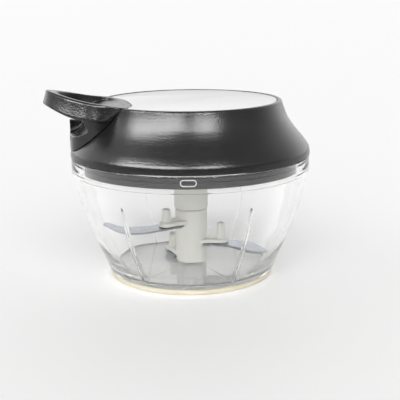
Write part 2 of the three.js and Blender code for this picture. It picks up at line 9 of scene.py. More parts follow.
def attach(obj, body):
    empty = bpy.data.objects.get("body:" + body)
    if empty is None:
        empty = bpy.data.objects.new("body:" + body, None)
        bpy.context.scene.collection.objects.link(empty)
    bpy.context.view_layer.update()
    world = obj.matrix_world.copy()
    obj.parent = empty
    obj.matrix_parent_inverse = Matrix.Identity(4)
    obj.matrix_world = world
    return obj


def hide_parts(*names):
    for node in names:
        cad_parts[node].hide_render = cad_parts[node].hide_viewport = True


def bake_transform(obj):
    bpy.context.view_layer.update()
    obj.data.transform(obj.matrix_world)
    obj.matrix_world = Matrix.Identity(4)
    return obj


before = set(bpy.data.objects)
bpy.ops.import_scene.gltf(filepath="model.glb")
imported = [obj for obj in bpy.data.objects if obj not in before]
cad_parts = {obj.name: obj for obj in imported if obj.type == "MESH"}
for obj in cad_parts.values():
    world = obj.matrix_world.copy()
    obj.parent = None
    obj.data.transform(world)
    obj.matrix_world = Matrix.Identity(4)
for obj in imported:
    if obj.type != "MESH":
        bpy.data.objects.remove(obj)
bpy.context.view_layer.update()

AXIS_X = 5.385
GRIP_AZ = math.radians(-166)
scene = bpy.context.scene
scene.view_settings.view_transform = "Standard"
RAD = math.pi / 180


# ------------------------------------------------------------- camera, stage
def camera():
    height, back, pitch, roll, yaw = 144.62, 432.18, 0.2421, 0.0103, 0.0112
    cp, sp, cr, sr = math.cos(pitch), math.sin(pitch), math.cos(roll), math.sin(roll)
    fwd = Vector((cp * math.sin(yaw), cp * math.cos(yaw), -sp))
    right = Vector((math.cos(yaw), -math.sin(yaw), 0))
    up = Vector((sp * math.sin(yaw), sp * math.cos(yaw), cp))
    x, y = right * cr - up * sr, right * sr + up * cr
    m = Matrix((x, y, -fwd)).transposed().to_4x4()
    m.translation = Vector((AXIS_X, -back, height)) * 0.001
    cam = bpy.data.cameras.new("view")
    cam.sensor_width, cam.lens = 36.0, 75.13
    cam.clip_start, cam.clip_end = 0.02, 30
    ob = bpy.data.objects.new("view", cam)
    ob.matrix_world = m
    scene.collection.objects.link(ob)
    scene.camera = ob


camera()


# ------------------------------------------------------------ curve helpers
def pchip(rows):
    """A smooth curve through (x, y) rows that never overshoots."""
    x = np.array([r[0] for r in rows], float)
    y = np.array([r[1] for r in rows], float)
    h = np.diff(x)
    d = np.diff(y) / h
    m = np.zeros_like(x)
    for i in range(1, len(x) - 1):
        if d[i - 1] * d[i] > 0:
            w1, w2 = 2 * h[i] + h[i - 1], h[i] + 2 * h[i - 1]
            m[i] = (w1 + w2) / (w1 / d[i - 1] + w2 / d[i])
    m[0], m[-1] = d[0], d[-1]

    def f(q):
        q = np.clip(np.asarray(q, float), x[0], x[-1])
        i = np.clip(np.searchsorted(x, q, side="right") - 1, 0, len(x) - 2)
        t = (q - x[i]) / h[i]
        return ((2 * t**3 - 3 * t**2 + 1) * y[i] + (t**3 - 2 * t**2 + t) * h[i] * m[i]
                + (-2 * t**3 + 3 * t**2) * y[i + 1] + (t**3 - t**2) * h[i] * m[i + 1])

    return f


def spline(points, n=6, closed=False):
    """Centripetal Catmull-Rom through points, n steps to each span."""
    p = [np.array(q, float) for q in points]
    k = len(p)
    out = []
    for i in range(k if closed else k - 1):
        p1, p2 = p[i], p[(i + 1) % k]
        p0 = p[(i - 1) % k] if closed or i > 0 else 2 * p1 - p2
        p3 = p[(i + 2) % k] if closed or i + 2 < k else 2 * p2 - p1
        t0 = 0.0
        t1 = t0 + max(np.linalg.norm(p1 - p0), 1e-9) ** 0.5
        t2 = t1 + max(np.linalg.norm(p2 - p1), 1e-9) ** 0.5
        t3 = t2 + max(np.linalg.norm(p3 - p2), 1e-9) ** 0.5
        for j in range(n):
            t = t1 + (t2 - t1) * j / n
            a1 = (t1 - t) / (t1 - t0) * p0 + (t - t0) / (t1 - t0) * p1
            a2 = (t2 - t) / (t2 - t1) * p1 + (t - t1) / (t2 - t1) * p2
            a3 = (t3 - t) / (t3 - t2) * p2 + (t - t2) / (t3 - t2) * p3
            b1 = (t2 - t) / (t2 - t0) * a1 + (t - t0) / (t2 - t0) * a2
            b2 = (t3 - t) / (t3 - t1) * a2 + (t - t1) / (t3 - t1) * a3
            out.append(tuple((t2 - t) / (t2 - t1) * b1 + (t - t1) / (t2 - t1) * b2))
    if not closed:
        out.append(tuple(p[-1]))
    return out


def rounded(points, closed=True, steps=4):
    """Outline whose corners (x, y, radius) are turned into arcs."""
    n = len(points)
    out = []
    for i, q in enumerate(points):
        r = q[2] if len(q) > 2 else 0.0
        if r <= 0 or (not closed and i in (0, n - 1)):
            out.append((q[0], q[1]))
            continue
        p = np.array(q[:2], float)
        a = np.array(points[(i - 1) % n][:2], float) - p
        b = np.array(points[(i + 1) % n][:2], float) - p
        la, lb = np.linalg.norm(a), np.linalg.norm(b)
        a, b = a / la, b / lb
        ang = math.acos(max(-1.0, min(1.0, float(a @ b))))
        if ang > math.pi - 0.02 or ang < 0.05:
            out.append((q[0], q[1]))
            continue
        cut = min(r / math.tan(ang / 2), 0.48 * la, 0.48 * lb)
        rr = cut * math.tan(ang / 2)
        mid = (a + b) / np.linalg.norm(a + b)
        centre = p + mid * (rr / math.sin(ang / 2))
        s, e = p + a * cut - centre, p + b * cut - centre
        turn = math.acos(max(-1.0, min(1.0, float(s @ e) / (rr * rr))))
        sign = 1.0 if s[0] * e[1] - s[1] * e[0] > 0 else -1.0
        a0 = math.atan2(s[1], s[0])
        for j in range(steps + 1):
            t = a0 + sign * turn * j / steps
            out.append((centre[0] + rr * math.cos(t), centre[1] + rr * math.sin(t)))
    return out


# ------------------------------------------------------------- mesh helpers
def object_of(name, verts, faces):
    me = bpy.data.meshes.new(name)
    me.from_pydata([tuple(map(float, v)) for v in verts], [], faces)
    bm = bmesh.new()
    bm.from_mesh(me)
    bmesh.ops.remove_doubles(bm, verts=bm.verts, dist=2e-4)
    bmesh.ops.dissolve_degenerate(bm, edges=bm.edges, dist=1e-5)
    bmesh.ops.recalc_face_normals(bm, faces=bm.faces)
    bm.to_mesh(me)
    bm.free()
    ob = bpy.data.objects.new(name, me)
    scene.collection.objects.link(ob)
    return ob


def turned(name, profile, seg=128):
    """Solid of revolution about Z from (r, z) points."""
    closed = not (profile[0][0] < 1e-6 and profile[-1][0] < 1e-6)
    verts, rows = [], []
    cs = [(math.cos(2 * math.pi * i / seg), math.sin(2 * math.pi * i / seg)) for i in range(seg)]
    for r, z in profile:
        if r < 1e-6:
            verts.append((0, 0, z))
            rows.append([len(verts) - 1] * seg)
        else:
            rows.append(list(range(len(verts), len(verts) + seg)))
            verts += [(r * c, r * s, z) for c, s in cs]
    faces = []
    pairs = list(zip(rows, rows[1:])) + ([(rows[-1], rows[0])] if closed else [])
    for a, b in pairs:
        for i in range(seg):
            j = (i + 1) % seg
            f = []
            for v in (a[i], a[j], b[j], b[i]):
                if v not in f:
                    f.append(v)
            if len(f) > 2:
                faces.append(f)
    return object_of(name, verts, faces)


def loft(name, rings, fan=True):
    """Stack of closed rings with the same number of points, capped."""
    n = len(rings[0])
    verts = [q for r in rings for q in r]
    faces = []
    for k in range(len(rings) - 1):
        for i in range(n):
            j = (i + 1) % n
            faces.append((k * n + i, k * n + j, (k + 1) * n + j, (k + 1) * n + i))
    for k in (0, len(rings) - 1):
        if fan:
            c = np.mean(np.array(rings[k], float), axis=0)
            verts.append(tuple(c))
            ci = len(verts) - 1
            faces += [(ci, k * n + i, k * n + (i + 1) % n) for i in range(n)]
        else:
            faces.append(tuple(k * n + i for i in range(n)))
    return object_of(name, verts, faces)


def prism(name, outline, z0, z1, soft=0.0, steps=3):
    """Plan outline lifted from z0 to z1, its upper and lower edges rounded by soft."""
    p = np.array(outline, float)
    area = 0.5 * np.sum(p[:, 0] * np.roll(p[:, 1], -1) - np.roll(p[:, 0], -1) * p[:, 1])
    if area < 0:
        p = p[::-1]
    e0 = p - np.roll(p, 1, axis=0)
    e1 = np.roll(p, -1, axis=0) - p
    n0 = np.stack([e0[:, 1], -e0[:, 0]], 1) / np.maximum(np.linalg.norm(e0, axis=1), 1e-9)[:, None]
    n1 = np.stack([e1[:, 1], -e1[:, 0]], 1) / np.maximum(np.linalg.norm(e1, axis=1), 1e-9)[:, None]
    nn = n0 + n1
    nn /= np.maximum(np.linalg.norm(nn, axis=1), 1e-9)[:, None]
    k = 1 / np.clip(np.sum(nn * n1, axis=1), 0.5, 1)
    rings = []
    if soft > 0:
        for j in range(steps + 1):
            a = math.pi / 2 * j / steps
            rings.append((soft * (1 - math.sin(a)), z0 + soft * (1 - math.cos(a))))
        for j in range(steps + 1):
            a = math.pi / 2 * j / steps
            rings.append((soft * (1 - math.cos(a)), z1 - soft * (1 - math.sin(a))))
    else:
        rings = [(0, z0), (0, z1)]
    return loft(name, [[(x, y, z) for x, y in p - nn * (k * off)[:, None]] for off, z in rings], fan=False)


def tube(name, path, radius, seg=20, radius_of=None):
    """Round cord along a path; radius_of(i, angle, along) may shape it."""
    p = np.array(path, float)
    n = len(p)
    tangent = np.gradient(p, axis=0)
    tangent /= np.linalg.norm(tangent, axis=1)[:, None]
    ref = np.array([0.0, 0.0, 1.0]) if abs(tangent[0][2]) < 0.9 else np.array([1.0, 0.0, 0.0])
    u = np.cross(tangent[0], ref)
    u /= np.linalg.norm(u)
    along = 0.0
    rings = []
    for i in range(n):
        if i:
            along += float(np.linalg.norm(p[i] - p[i - 1]))
            u = u - tangent[i] * float(u @ tangent[i])
            u /= np.linalg.norm(u)
        v = np.cross(tangent[i], u)
        ring = []
        for j in range(seg):
            a = 2 * math.pi * j / seg
            r = radius if radius_of is None else radius_of(i, a, along)
            ring.append(tuple(p[i] + r * (math.cos(a) * u + math.sin(a) * v)))
        rings.append(ring)
    return loft(name, rings)


def box_of(name, x0, x1, y0, y1, z0, z1):
    return loft(name, [[(x0, y0, z), (x1, y0, z), (x1, y1, z), (x0, y1, z)] for z in (z0, z1)], fan=False)


def spin(ob, angle, x=0.0, y=0.0, z=0.0):
    ob.data.transform(Matrix.Translation((x, y, z)) @ Matrix.Rotation(angle, 4, "Z"))
    return ob


def applied(ob):
    bpy.context.view_layer.update()
    dg = bpy.context.evaluated_depsgraph_get()
    me = bpy.data.meshes.new_from_object(ob.evaluated_get(dg), preserve_all_data_layers=True, depsgraph=dg)
    old = ob.data
    ob.modifiers.clear()
    ob.data = me
    bpy.data.meshes.remove(old)
    return ob


def cut(a, b, how="DIFFERENCE", keep=False):
    m = a.modifiers.new("cut", "BOOLEAN")
    m.operation, m.object, m.solver = how, b, "MANIFOLD"
    applied(a)
    if not a.data.polygons:
        raise RuntimeError(f"{a.name}: nothing is left after {how} with {b.name}")
    if not keep:
        bpy.data.objects.remove(b)
    return a


def join(a, b, keep=False):
    return cut(a, b, "UNION", keep)


def common(a, b, keep=False):
    return cut(a, b, "INTERSECT", keep)


def remeshed(ob, voxel, smooth=4, factor=0.5):
    m = ob.modifiers.new("voxel", "REMESH")
    m.mode, m.voxel_size, m.adaptivity, m.use_smooth_shade = "VOXEL", voxel, 0.0, True
    if smooth:
        s = ob.modifiers.new("smooth", "SMOOTH")
        s.factor, s.iterations = factor, smooth
    return applied(ob)


def softened(ob, offset, angle=40, segments=2):
    """Small round on every edge sharper than the angle."""
    bm = bmesh.new()
    bm.from_mesh(ob.data)
    bmesh.ops.dissolve_limit(bm, angle_limit=0.6 * RAD, verts=bm.verts, edges=bm.edges)
    edges = [e for e in bm.edges if len(e.link_faces) == 2 and e.calc_face_angle(0) > angle * RAD]
    bmesh.ops.bevel(bm, geom=edges, offset=offset, segments=segments, profile=0.5, affect="EDGES", clamp_overlap=True)
    bm.to_mesh(ob.data)
    bm.free()
    return ob


PIECES = {}


def piece(ob, body, node, slot, *materials, sharp=35):
    """The finished piece: metres, smooth shading, material, body and CAD node."""
    me = ob.data
    me.transform(Matrix.Translation((AXIS_X * 0.001, 0, 0)) @ Matrix.Scale(0.001, 4))
    me.materials.clear() if len(materials) == 1 else None
    if len(materials) == 1:
        me.materials.append(materials[0])
    me.shade_smooth()
    if sharp:
        me.set_sharp_from_angle(angle=sharp * RAD)
    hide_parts(node)
    if body:
        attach(ob, body)
    PIECES[ob.name] = ob
    return ob


# ---------------------------------------------------------------- materials
def material(name, color, rough, metal=0.0, ior=1.5, transmission=0.0, specular=None):
    m = bpy.data.materials.new(name)
    m.use_nodes = True
    p = next(n for n in m.node_tree.nodes if n.type == "BSDF_PRINCIPLED")
    p.inputs["Base Color"].default_value = (*color, 1)
    p.inputs["Roughness"].default_value = rough
    p.inputs["Metallic"].default_value = metal
    p.inputs["IOR"].default_value = ior
    p.inputs["Transmission Weight"].default_value = transmission
    if specular is not None:
        p.inputs["Specular IOR Level"].default_value = specular
    return m, m.node_tree, p


def coords(t, stretch=(1, 1, 1), turn=(0, 0, 0)):
    c = t.nodes.new("ShaderNodeTexCoord")
    m = t.nodes.new("ShaderNodeMapping")
    m.inputs["Scale"].default_value = stretch
    m.inputs["Rotation"].default_value = turn
    t.links.new(c.outputs["Object"], m.inputs["Vector"])
    return m.outputs["Vector"]


def noise(t, vec, scale, detail=3.0, rough=0.55):
    n = t.nodes.new("ShaderNodeTexNoise")
    n.inputs["Scale"].default_value = scale
    n.inputs["Detail"].default_value = detail
    n.inputs["Roughness"].default_value = rough
    t.links.new(vec, n.inputs["Vector"])
    return n.outputs["Fac"]


def spread(t, value, lo, hi, a=0.3, b=0.7):
    """Noise value from a..b turned into lo..hi."""
    r = t.nodes.new("ShaderNodeMapRange")
    r.inputs["From Min"].default_value = a
    r.inputs["From Max"].default_value = b
    r.inputs["To Min"].default_value = lo
    r.inputs["To Max"].default_value = hi
    t.links.new(value, r.inputs["Value"])
    return r.outputs["Result"]


def tint(t, value, low, high, a=0.35, b=0.65):
    r = t.nodes.new("ShaderNodeValToRGB")
    r.color_ramp.elements[0].position = a
    r.color_ramp.elements[1].position = b
    r.color_ramp.elements[0].color = (*low, 1)
    r.color_ramp.elements[1].color = (*high, 1)
    t.links.new(value, r.inputs["Fac"])
    return r.outputs["Color"]


def bump(t, p, *layers):
    """layers are (height, strength, distance in metres), coarse first."""
    normal = None
    for height, strength, distance in layers:
        b = t.nodes.new("ShaderNodeBump")
        b.inputs["Strength"].default_value = strength
        b.inputs["Distance"].default_value = distance
        t.links.new(height, b.inputs["Height"])
        if normal is not None:
            t.links.new(normal, b.inputs["Normal"])
        normal = b.outputs["Normal"]
    t.links.new(normal, p.inputs["Normal"])


def moulded(name, low, high, rough=(0.36, 0.44), grain=2200.0, depth=0.00002, strength=0.5, specular=None, waves=0.00003, ior=1.49, detail=2.5):
    """Moulded plastic: spark-eroded grain, slight unevenness of colour and gloss."""
    m, t, p = material(name, low, rough[0], ior=ior, specular=specular)
    v = coords(t)
    patch = noise(t, v, 90.0, 4.0)
    t.links.new(tint(t, patch, low, high), p.inputs["Base Color"])
    t.links.new(spread(t, noise(t, v, 260.0, 3.0), rough[0], rough[1]), p.inputs["Roughness"])
    bump(t, p, (noise(t, v, 55.0, 2.0), 0.25, waves), (noise(t, v, grain, detail, 0.6), strength, depth))
    return m


BLACK = moulded("black_spark_eroded", (0.0085, 0.0083, 0.0086), (0.0115, 0.0110, 0.0110), (0.19, 0.24), 1450.0, 0.00009, 0.85, waves=0.00001, detail=0.5)
BLACK_IN = moulded("black_inside", (0.010, 0.010, 0.0105), (0.014, 0.0135, 0.0135), (0.40, 0.48), 1500.0, 0.00002, 0.4)
PLUG = moulded("black_plug", (0.012, 0.012, 0.0125), (0.017, 0.017, 0.0175), (0.34, 0.40), 1600.0, 0.000004, 0.1, waves=0.000003)
# Top plate: its light grey colour is painted reflection of the bright white background on a glossy top.
PLATE = moulded("plate_grey_painted_reflection", (0.665, 0.663, 0.672), (0.68, 0.678, 0.687), (0.28, 0.295), 1400.0, 0.0000008, 0.1, waves=0.000001)
WHITE = moulded("white_polypropylene", (0.80, 0.785, 0.735), (0.84, 0.83, 0.785), (0.38, 0.47), 1300.0, 0.000012, 0.35)
NATURAL = moulded("natural_acetal", (0.70, 0.66, 0.56), (0.76, 0.72, 0.62), (0.34, 0.42), 1300.0, 0.00001, 0.3)
GREY = moulded("grey_styrene", (0.25, 0.25, 0.26), (0.30, 0.30, 0.31), (0.40, 0.48), 1500.0, 0.00002, 0.4)
CREAM = moulded("cream_elastomer", (0.68, 0.63, 0.48), (0.74, 0.69, 0.55), (0.55, 0.68), 1700.0, 0.00003, 0.5)
SEAL = moulded("black_nitrile", (0.013, 0.013, 0.0135), (0.018, 0.018, 0.0185), (0.38, 0.46), 1700.0, 0.000006, 0.2, waves=0.000003)


def clear():
    """Polished clear styrene copolymer: faint waviness and hairline scuffs."""
    m, t, p = material("polished_styrene", (0.985, 0.99, 0.985), 0.0, ior=1.5, transmission=1.0)
    v = coords(t)
    t.links.new(spread(t, noise(t, v, 140.0, 6.0, 0.7), 0.0, 0.05, 0.45, 0.8), p.inputs["Roughness"])
    bump(t, p, (noise(t, v, 30.0, 1.0), 0.04, 0.00006))
    return m


def frosted():
    m, t, p = material("frosted_styrene", (0.86, 0.87, 0.87), 0.45, ior=1.5, transmission=0.35)
    v = coords(t)
    t.links.new(spread(t, noise(t, v, 1500.0, 2.0), 0.38, 0.55), p.inputs["Roughness"])
    bump(t, p, (noise(t, v, 2600.0, 2.0), 0.6, 0.00002))
    return m


def brushed(name, low, high, rough, stretch, turn=0.0, lines=900.0):
    m, t, p = material(name, low, rough[0], metal=1.0)
    v = coords(t, stretch, (0, 0, turn))
    g = noise(t, v, lines, 4.0, 0.6)
    t.links.new(tint(t, g, low, high), p.inputs["Base Color"])
    t.links.new(spread(t, g, rough[0], rough[1]), p.inputs["Roughness"])
    bump(t, p, (g, 0.35, 0.000012), (noise(t, coords(t), 120.0, 2.0), 0.12, 0.00003))
    return m


def satin():
    """Fine-etched underside of the bowl, which hides what is below it."""
    m, t, p = material("etched_styrene", (0.93, 0.925, 0.915), 0.5, ior=1.5, transmission=0.55)
    v = coords(t)
    t.links.new(spread(t, noise(t, v, 700.0, 3.0), 0.42, 0.56), p.inputs["Roughness"])
    bump(t, p, (noise(t, v, 1800.0, 2.0), 0.3, 0.00001))
    return m


CLEAR, FROST, SATIN = clear(), frosted(), satin()
STEEL = brushed("bright_steel", (0.50, 0.50, 0.52), (0.62, 0.62, 0.64), (0.20, 0.32), (1, 1, 6))


def corded():
    """Braided nylon: crossing strands that follow the place, not the stretch, with painted shade in the grooves between
    them.
    """
    m, t, p = material("braided_nylon", (0.80, 0.79, 0.75), 0.75)
    v = coords(t, (1, 1, 1), (0, 0, -GRIP_AZ))
    w = t.nodes.new("ShaderNodeTexWave")
    w.wave_type, w.bands_direction = "BANDS", "DIAGONAL"
    w.inputs["Scale"].default_value = 420.0
    w.inputs["Distortion"].default_value = 1.5
    t.links.new(v, w.inputs["Vector"])
    # Painted shade: the colour darkens where the wave is low, in the grooves between the strands.
    t.links.new(tint(t, w.outputs["Fac"], (0.60, 0.59, 0.55), (0.86, 0.85, 0.81), 0.1, 0.8), p.inputs["Base Color"])
    bump(t, p, (w.outputs["Fac"], 0.8, 0.00012), (noise(t, coords(t), 4000.0, 3.0), 0.5, 0.00003))
    return m


CORD = corded()


# ---------------------------------------------------------------------- bowl
def bowl():
    wall_in = [(57.7, 56.4), (57.1, 52), (55.7, 44), (53.6, 36), (51.1, 28), (47.7, 20), (43.6, 12), (41.2, 7.6)]
    wall_out = [(44.6, 5.0), (46.0, 9), (49.6, 17), (53.2, 25), (56.3, 34), (58.7, 43), (60.1, 50), (60.8, 54.2)]
    profile = rounded(
        [(0, 2.4), (37.9, 2.4, 0.4), (37.9, 3.0, 0.2), (43.9, 3.0, 0.8)]
        + spline(wall_out, 6)
        + [(60.95, 55.6, 0.3), (61.8, 55.8, 0.2), (62.0, 56.3, 0.3), (62.0, 63.9, 0.45), (58.4, 63.9, 0.4), (57.9, 62.8, 0.4)]
        + spline(wall_in, 6)
        + [(39.9, 4.5, 3.0), (4.6, 4.5, 0.6), (3.9, 5.3, 0.3), (2.3, 5.3, 0.2), (2.3, 3.4), (0, 3.4)],
        closed=False,
    )
    b = turned("clear_bowl", profile, 256)
    inner = pchip([(4.6, 39.0), (7.6, 41.2), (12, 43.6), (20, 47.7), (28, 51.1), (36, 53.6), (44, 55.7), (52, 57.1), (56.4, 57.7)])
    proud = pchip([(4.2, 2.6), (8, 2.1), (12, 2.0), (36, 2.0), (41, 1.6), (44.5, 0.9), (46.4, 0.0)])
    for k, az in enumerate((-125, -60, 55, 120)):
        near = az < 0
        rings = []
        for z in np.concatenate([[4.1], np.linspace(4.9, 44, 40), np.linspace(44.6, 46.6, 8)]):
            r1 = float(inner(z)) + 0.7
            r0 = float(inner(z)) - float(proud(z)) * (1 if near else 0.3)
            half = 0.95 if near else 0.7
            ring = [(r1, half, z)]
            for j in range(9):
                a = math.pi * j / 8
                ring.append((r0 + 0.55 - 0.55 * math.sin(a), 0.55 * math.cos(a), z))
            ring.append((r1, -half, z))
            rings.append(ring)
        join(b, spin(loft(f"rib{k}", rings), az * RAD))
    return b


def oval(b):
    """Raised outline of the moulded mark on the collar."""
    mid, half, rad, w = 61.0, 2.2, 1.42, 0.26
    path = []
    for j in range(24):
        a = -math.pi / 2 + math.pi * j / 23
        path.append((half + rad * math.cos(a), rad * math.sin(a)))
    for j in range(24):
        a = math.pi / 2 + math.pi * j / 23
        path.append((-half + rad * math.cos(a), rad * math.sin(a)))
    p = np.array(path)
    t = np.roll(p, -1, 0) - np.roll(p, 1, 0)
    t /= np.linalg.norm(t, axis=1)[:, None]
    nrm = np.stack([t[:, 1], -t[:, 0]], 1)
    verts, faces = [], []
    section = [(-w, 61.75), (-w, 62.12), (-0.6 * w, 62.2), (0.6 * w, 62.2), (w, 62.12), (w, 61.75)]
    for (x, y), n in zip(p, nrm):
        for off, r in section:
            a = -91 * RAD + (x + n[0] * off) / 62.0
            verts.append((r * math.cos(a), r * math.sin(a), mid + y + n[1] * off))
    m, k = len(p), len(section)
    for i in range(m):
        for j in range(k):
            faces.append((i * k + j, i * k + (j + 1) % k, ((i + 1) % m) * k + (j + 1) % k, ((i + 1) % m) * k + j))
    join(b, object_of("oval", verts, faces))
    b.data.materials.clear()
    b.data.materials.append(CLEAR)
    b.data.materials.append(FROST)
    b.data.materials.append(SATIN)
    for f in b.data.polygons:
        r = math.hypot(f.center.x, f.center.y)
        f.material_index = 1 if r > 62.02 else 2 if r < 43.2 and f.center.z < 3.1 else 0
    return b


piece(oval(bowl()), "base", "bowl", "clear_plastic", CLEAR, FROST, SATIN, sharp=28)

piece(turned("cream_ring", rounded([
    (38.6, 0.0, 0.5), (42.9, 0.0, 0.7), (43.3, 1.4, 0.6), (43.2, 2.75, 0.5), (38.6, 2.75, 0.4)]), 192),
    "base", "non_slip_ring", "cream_rubber", CREAM)
piece(turned("centre_pin", rounded([(0, 3.8), (2.0, 3.8, 0.2), (2.0, 22.6, 0.4), (1.3, 23.6, 0.3), (0, 23.6)], closed=False), 48),
      "base", "pivot_pin", "steel", STEEL)

# --------------------------------------------------------------------- rotor
ARM_TOPS, ARM_AZ, PEG_R, PEG_H = (29.0, 18.8, 9.2), (-143, -13, 129), 16.2, 7.9


def hexagon(across, z0, z1, name="hex"):
    r = across / 2 / math.cos(30 * RAD)
    return prism(name, [(r * math.cos(60 * i * RAD), r * math.sin(60 * i * RAD)) for i in range(6)], z0, z1)


BLADES = (
    ("blade_top", "blade_upper", 0, [
        (-5.0, -9.2), (-11.0, -13.6), (-16.2, -16.2), (-21.3, -18.6), (-26.4, -19.8), (-30.5, -19.9), (-34.4, -18.8),
        (-38.2, -15.6), (-41.6, -11.0), (-45.0, -5.8), (-47.4, -1.6), (-46.4, -0.8), (-44.4, -1.4), (-41.8, -3.6),
        (-38.6, -6.4), (-35.2, -8.3), (-32.0, -9.2), (-28.0, -9.2), (-24.2, -8.6), (-20.4, -7.0), (-16.0, -4.0), (-8.4, -1.6)], (0, 10)),
    ("blade_mid", "blade_middle", 1, [
        (6.0, -7.0), (12.6, -8.6), (18.6, -10.6), (23.2, -14.6), (27.0, -18.2), (31.0, -20.6), (35.0, -21.4),
        (38.4, -19.8), (38.0, -17.6), (35.6, -12.6), (32.6, -7.2), (29.0, -2.8), (24.6, 0.6), (20.4, 2.6), (14.0, 3.4), (7.6, 3.2)], (8, 14)),
    ("blade_low", "blade_lower", 2, [
        (-9.0, 2.0), (-13.2, 7.4), (-14.9, 12.6), (-14.6, 18.8), (-12.6, 24.8), (-8.8, 30.6), (-3.6, 34.2),
        (1.8, 35.8), (4.8, 35.6), (4.6, 34.4), (1.2, 31.8), (-2.0, 27.8), (-3.6, 22.8), (-4.2, 17.8), (-3.6, 13.4), (-2.4, 8.6)], (0, 8)),
)
THICK = 1.2


def rotor():
    col = turned("rotor_column", rounded([
        (0, 5.5), (7.6, 5.5, 0.3), (8.15, 6.1, 0.5), (8.3, 16), (8.7, 34.3, 0.3), (8.4, 35.0, 0.3), (0, 35.0)], closed=False), 96)
    plan = [(2, -5.9), (8.6, -5.4), (12.5, -4.3)]
    plan += [(PEG_R + 4.1 * math.cos(a * RAD), 4.1 * math.sin(a * RAD)) for a in range(-90, 91, 10)]
    plan += [(12.5, 4.3), (8.6, 5.4), (2, 5.9)]
    for zt, az in zip(ARM_TOPS, ARM_AZ):
        arm = prism("arm", plan, zt - 2.2, zt, 0.35)
        rib = loft("rib", [[(5, y, zt - 0.5), (PEG_R - 1.5, y, zt - 0.5), (PEG_R - 1.5, y, zt + 0.2), (5, y, zt + 2.6)] for y in (-0.6, 0.6)], fan=False)
        join(arm, rib)
        peg = turned("peg", rounded([(0, zt - 1), (2.4, zt - 1), (2.2, zt + PEG_H - 0.5, 0.3), (1.7, zt + PEG_H, 0.2), (1.15, zt + PEG_H, 0.1), (1.05, zt + 2.4, 0.3), (0, zt + 2.4)], closed=False), 40)
        join(arm, spin(peg, 0, PEG_R))
        join(col, spin(arm, az * RAD))
    blades = []
    for name, node, arm, outline, edge in BLADES:
        zt = ARM_TOPS[arm] - 2.5
        z0 = zt - THICK
        a = ARM_AZ[arm] * RAD
        n = 5
        pts = np.array(spline(outline, n, closed=True))
        e = pts - np.roll(pts, 1, 0)
        f = np.roll(pts, -1, 0) - pts
        t = e / np.maximum(np.linalg.norm(e, axis=1), 1e-9)[:, None] + f / np.maximum(np.linalg.norm(f, axis=1), 1e-9)[:, None]
        t /= np.maximum(np.linalg.norm(t, axis=1), 1e-9)[:, None]
        area = np.sum(pts[:, 0] * np.roll(pts[:, 1], -1) - np.roll(pts[:, 0], -1) * pts[:, 1])
        inward = np.stack([-t[:, 1], t[:, 0]], 1) * (1 if area > 0 else -1)
        k = np.zeros(len(pts))
        lo, hi = edge[0] * n, edge[1] * n
        for i in range(lo, hi + 1):
            k[i % len(pts)] = math.sin(math.pi * min(max((i - lo) / (hi - lo), 0), 1)) ** 0.35
        rings = []
        for off, z in ((1.9, z0), (0.15, z0 + 0.75), (0.0, z0 + 0.85), (0.0, zt - 0.08), (0.08, zt)):
            inset = off * k[:, None] if off > 0.5 else off * np.ones_like(k)[:, None] * (1 if off < 0.1 else k[:, None])
            rings.append([(x, y, z) for x, y in pts + inward * inset])
        blade = loft(name, rings, fan=False)
        c, s = math.cos(a), math.sin(a)

        def root(x, y):
            return (x * c - y * s, x * s + y * c)

        cut(blade, turned("clear_of_column", [(0, z0 - 1), (9.4, z0 - 1), (9.4, zt + 1), (0, zt + 1)], 72))
        join(blade, prism("tongue", [root(5.3, -3.2), root(13.5, -3.8), root(13.5, 3.8), root(5.3, 3.2)], z0 + 0.01, zt - 0.01))
        slot = prism("slot", [root(4.9, -3.55), root(20, -4.2), root(20, 4.2), root(4.9, 3.55)], z0 - 0.3, zt + 0.3)
        common(slot, turned("to_wall", [(0, z0 - 2), (11, z0 - 2), (11, zt + 2), (0, zt + 2)], 72))
        cut(col, slot)
        blades.append((blade, node, a))
    cut(col, turned("pin_bore", [(0, 4.0), (4.7, 4.0), (4.7, 7.9), (2.4, 8.4), (2.4, 24.4), (0, 24.4)], 48))
    cut(col, hexagon(11.0, 28.2, 36))
    remeshed(col, 0.28, 3)
    piece(col, "rotor", "blade_column", "white_plastic", WHITE, sharp=0)
    for blade, node, a in blades:
        look = brushed(f"{node}_ground_steel", (0.25, 0.27, 0.31), (0.36, 0.38, 0.42), (0.20, 0.32), (1, 14, 1), -a - 0.35, 260.0)
        piece(blade, "rotor", node, "blade_steel", look, sharp=20)


rotor()

# ----------------------------------------------------------- housing and grip
SHELL = [(64.35, 62.3), (66, 62.15), (67.4, 61.95), (68.3, 61.6), (69.3, 60.95), (71, 59.7), (74, 57.2), (77, 54.7), (80, 52.5), (83.5, 50.4), (88, 48.6), (90.6, 47.8)]
shell_r = pchip(SHELL + [(91.7, 47.5)])
U_HALF = pchip([(68.6, 2.0), (69.0, 5.2), (69.8, 8.0), (71.1, 10.4), (72.7, 12.4), (74.6, 14.5), (77.3, 16.4), (80.1, 18.3), (82.5, 19.9), (86.6, 22.4), (91.1, 25.1), (92.6, 25.6)])
NOSE_S, NOSE_HALF, FACE_R, GAP, POCKET_T, PLATE_R, CORD_Z = 32.1, 25.5, 62.2, 0.35, 2.0, 44.9, 74.4
SCREW_AZ, SCREW_R = (35, 125, -45, -115), 49.6


def nose_s(y, off):
    return NOSE_S - off + 6.5 * (abs(y) / (NOSE_HALF + off)) ** 3


def nose_ring(T, off, z, n=24):
    k = min(3.0, T * 0.6)
    ring = [(nose_s(y, off), y, z) for y in np.linspace(-T + k, T - k, n)]
    c = nose_s(T - k, off)
    side = [(c + 0.9 * k * (1 - math.cos(a)), T - k + k * math.sin(a), z) for a in np.linspace(0, math.pi / 2, 7)[1:]]
    return ring, side, c


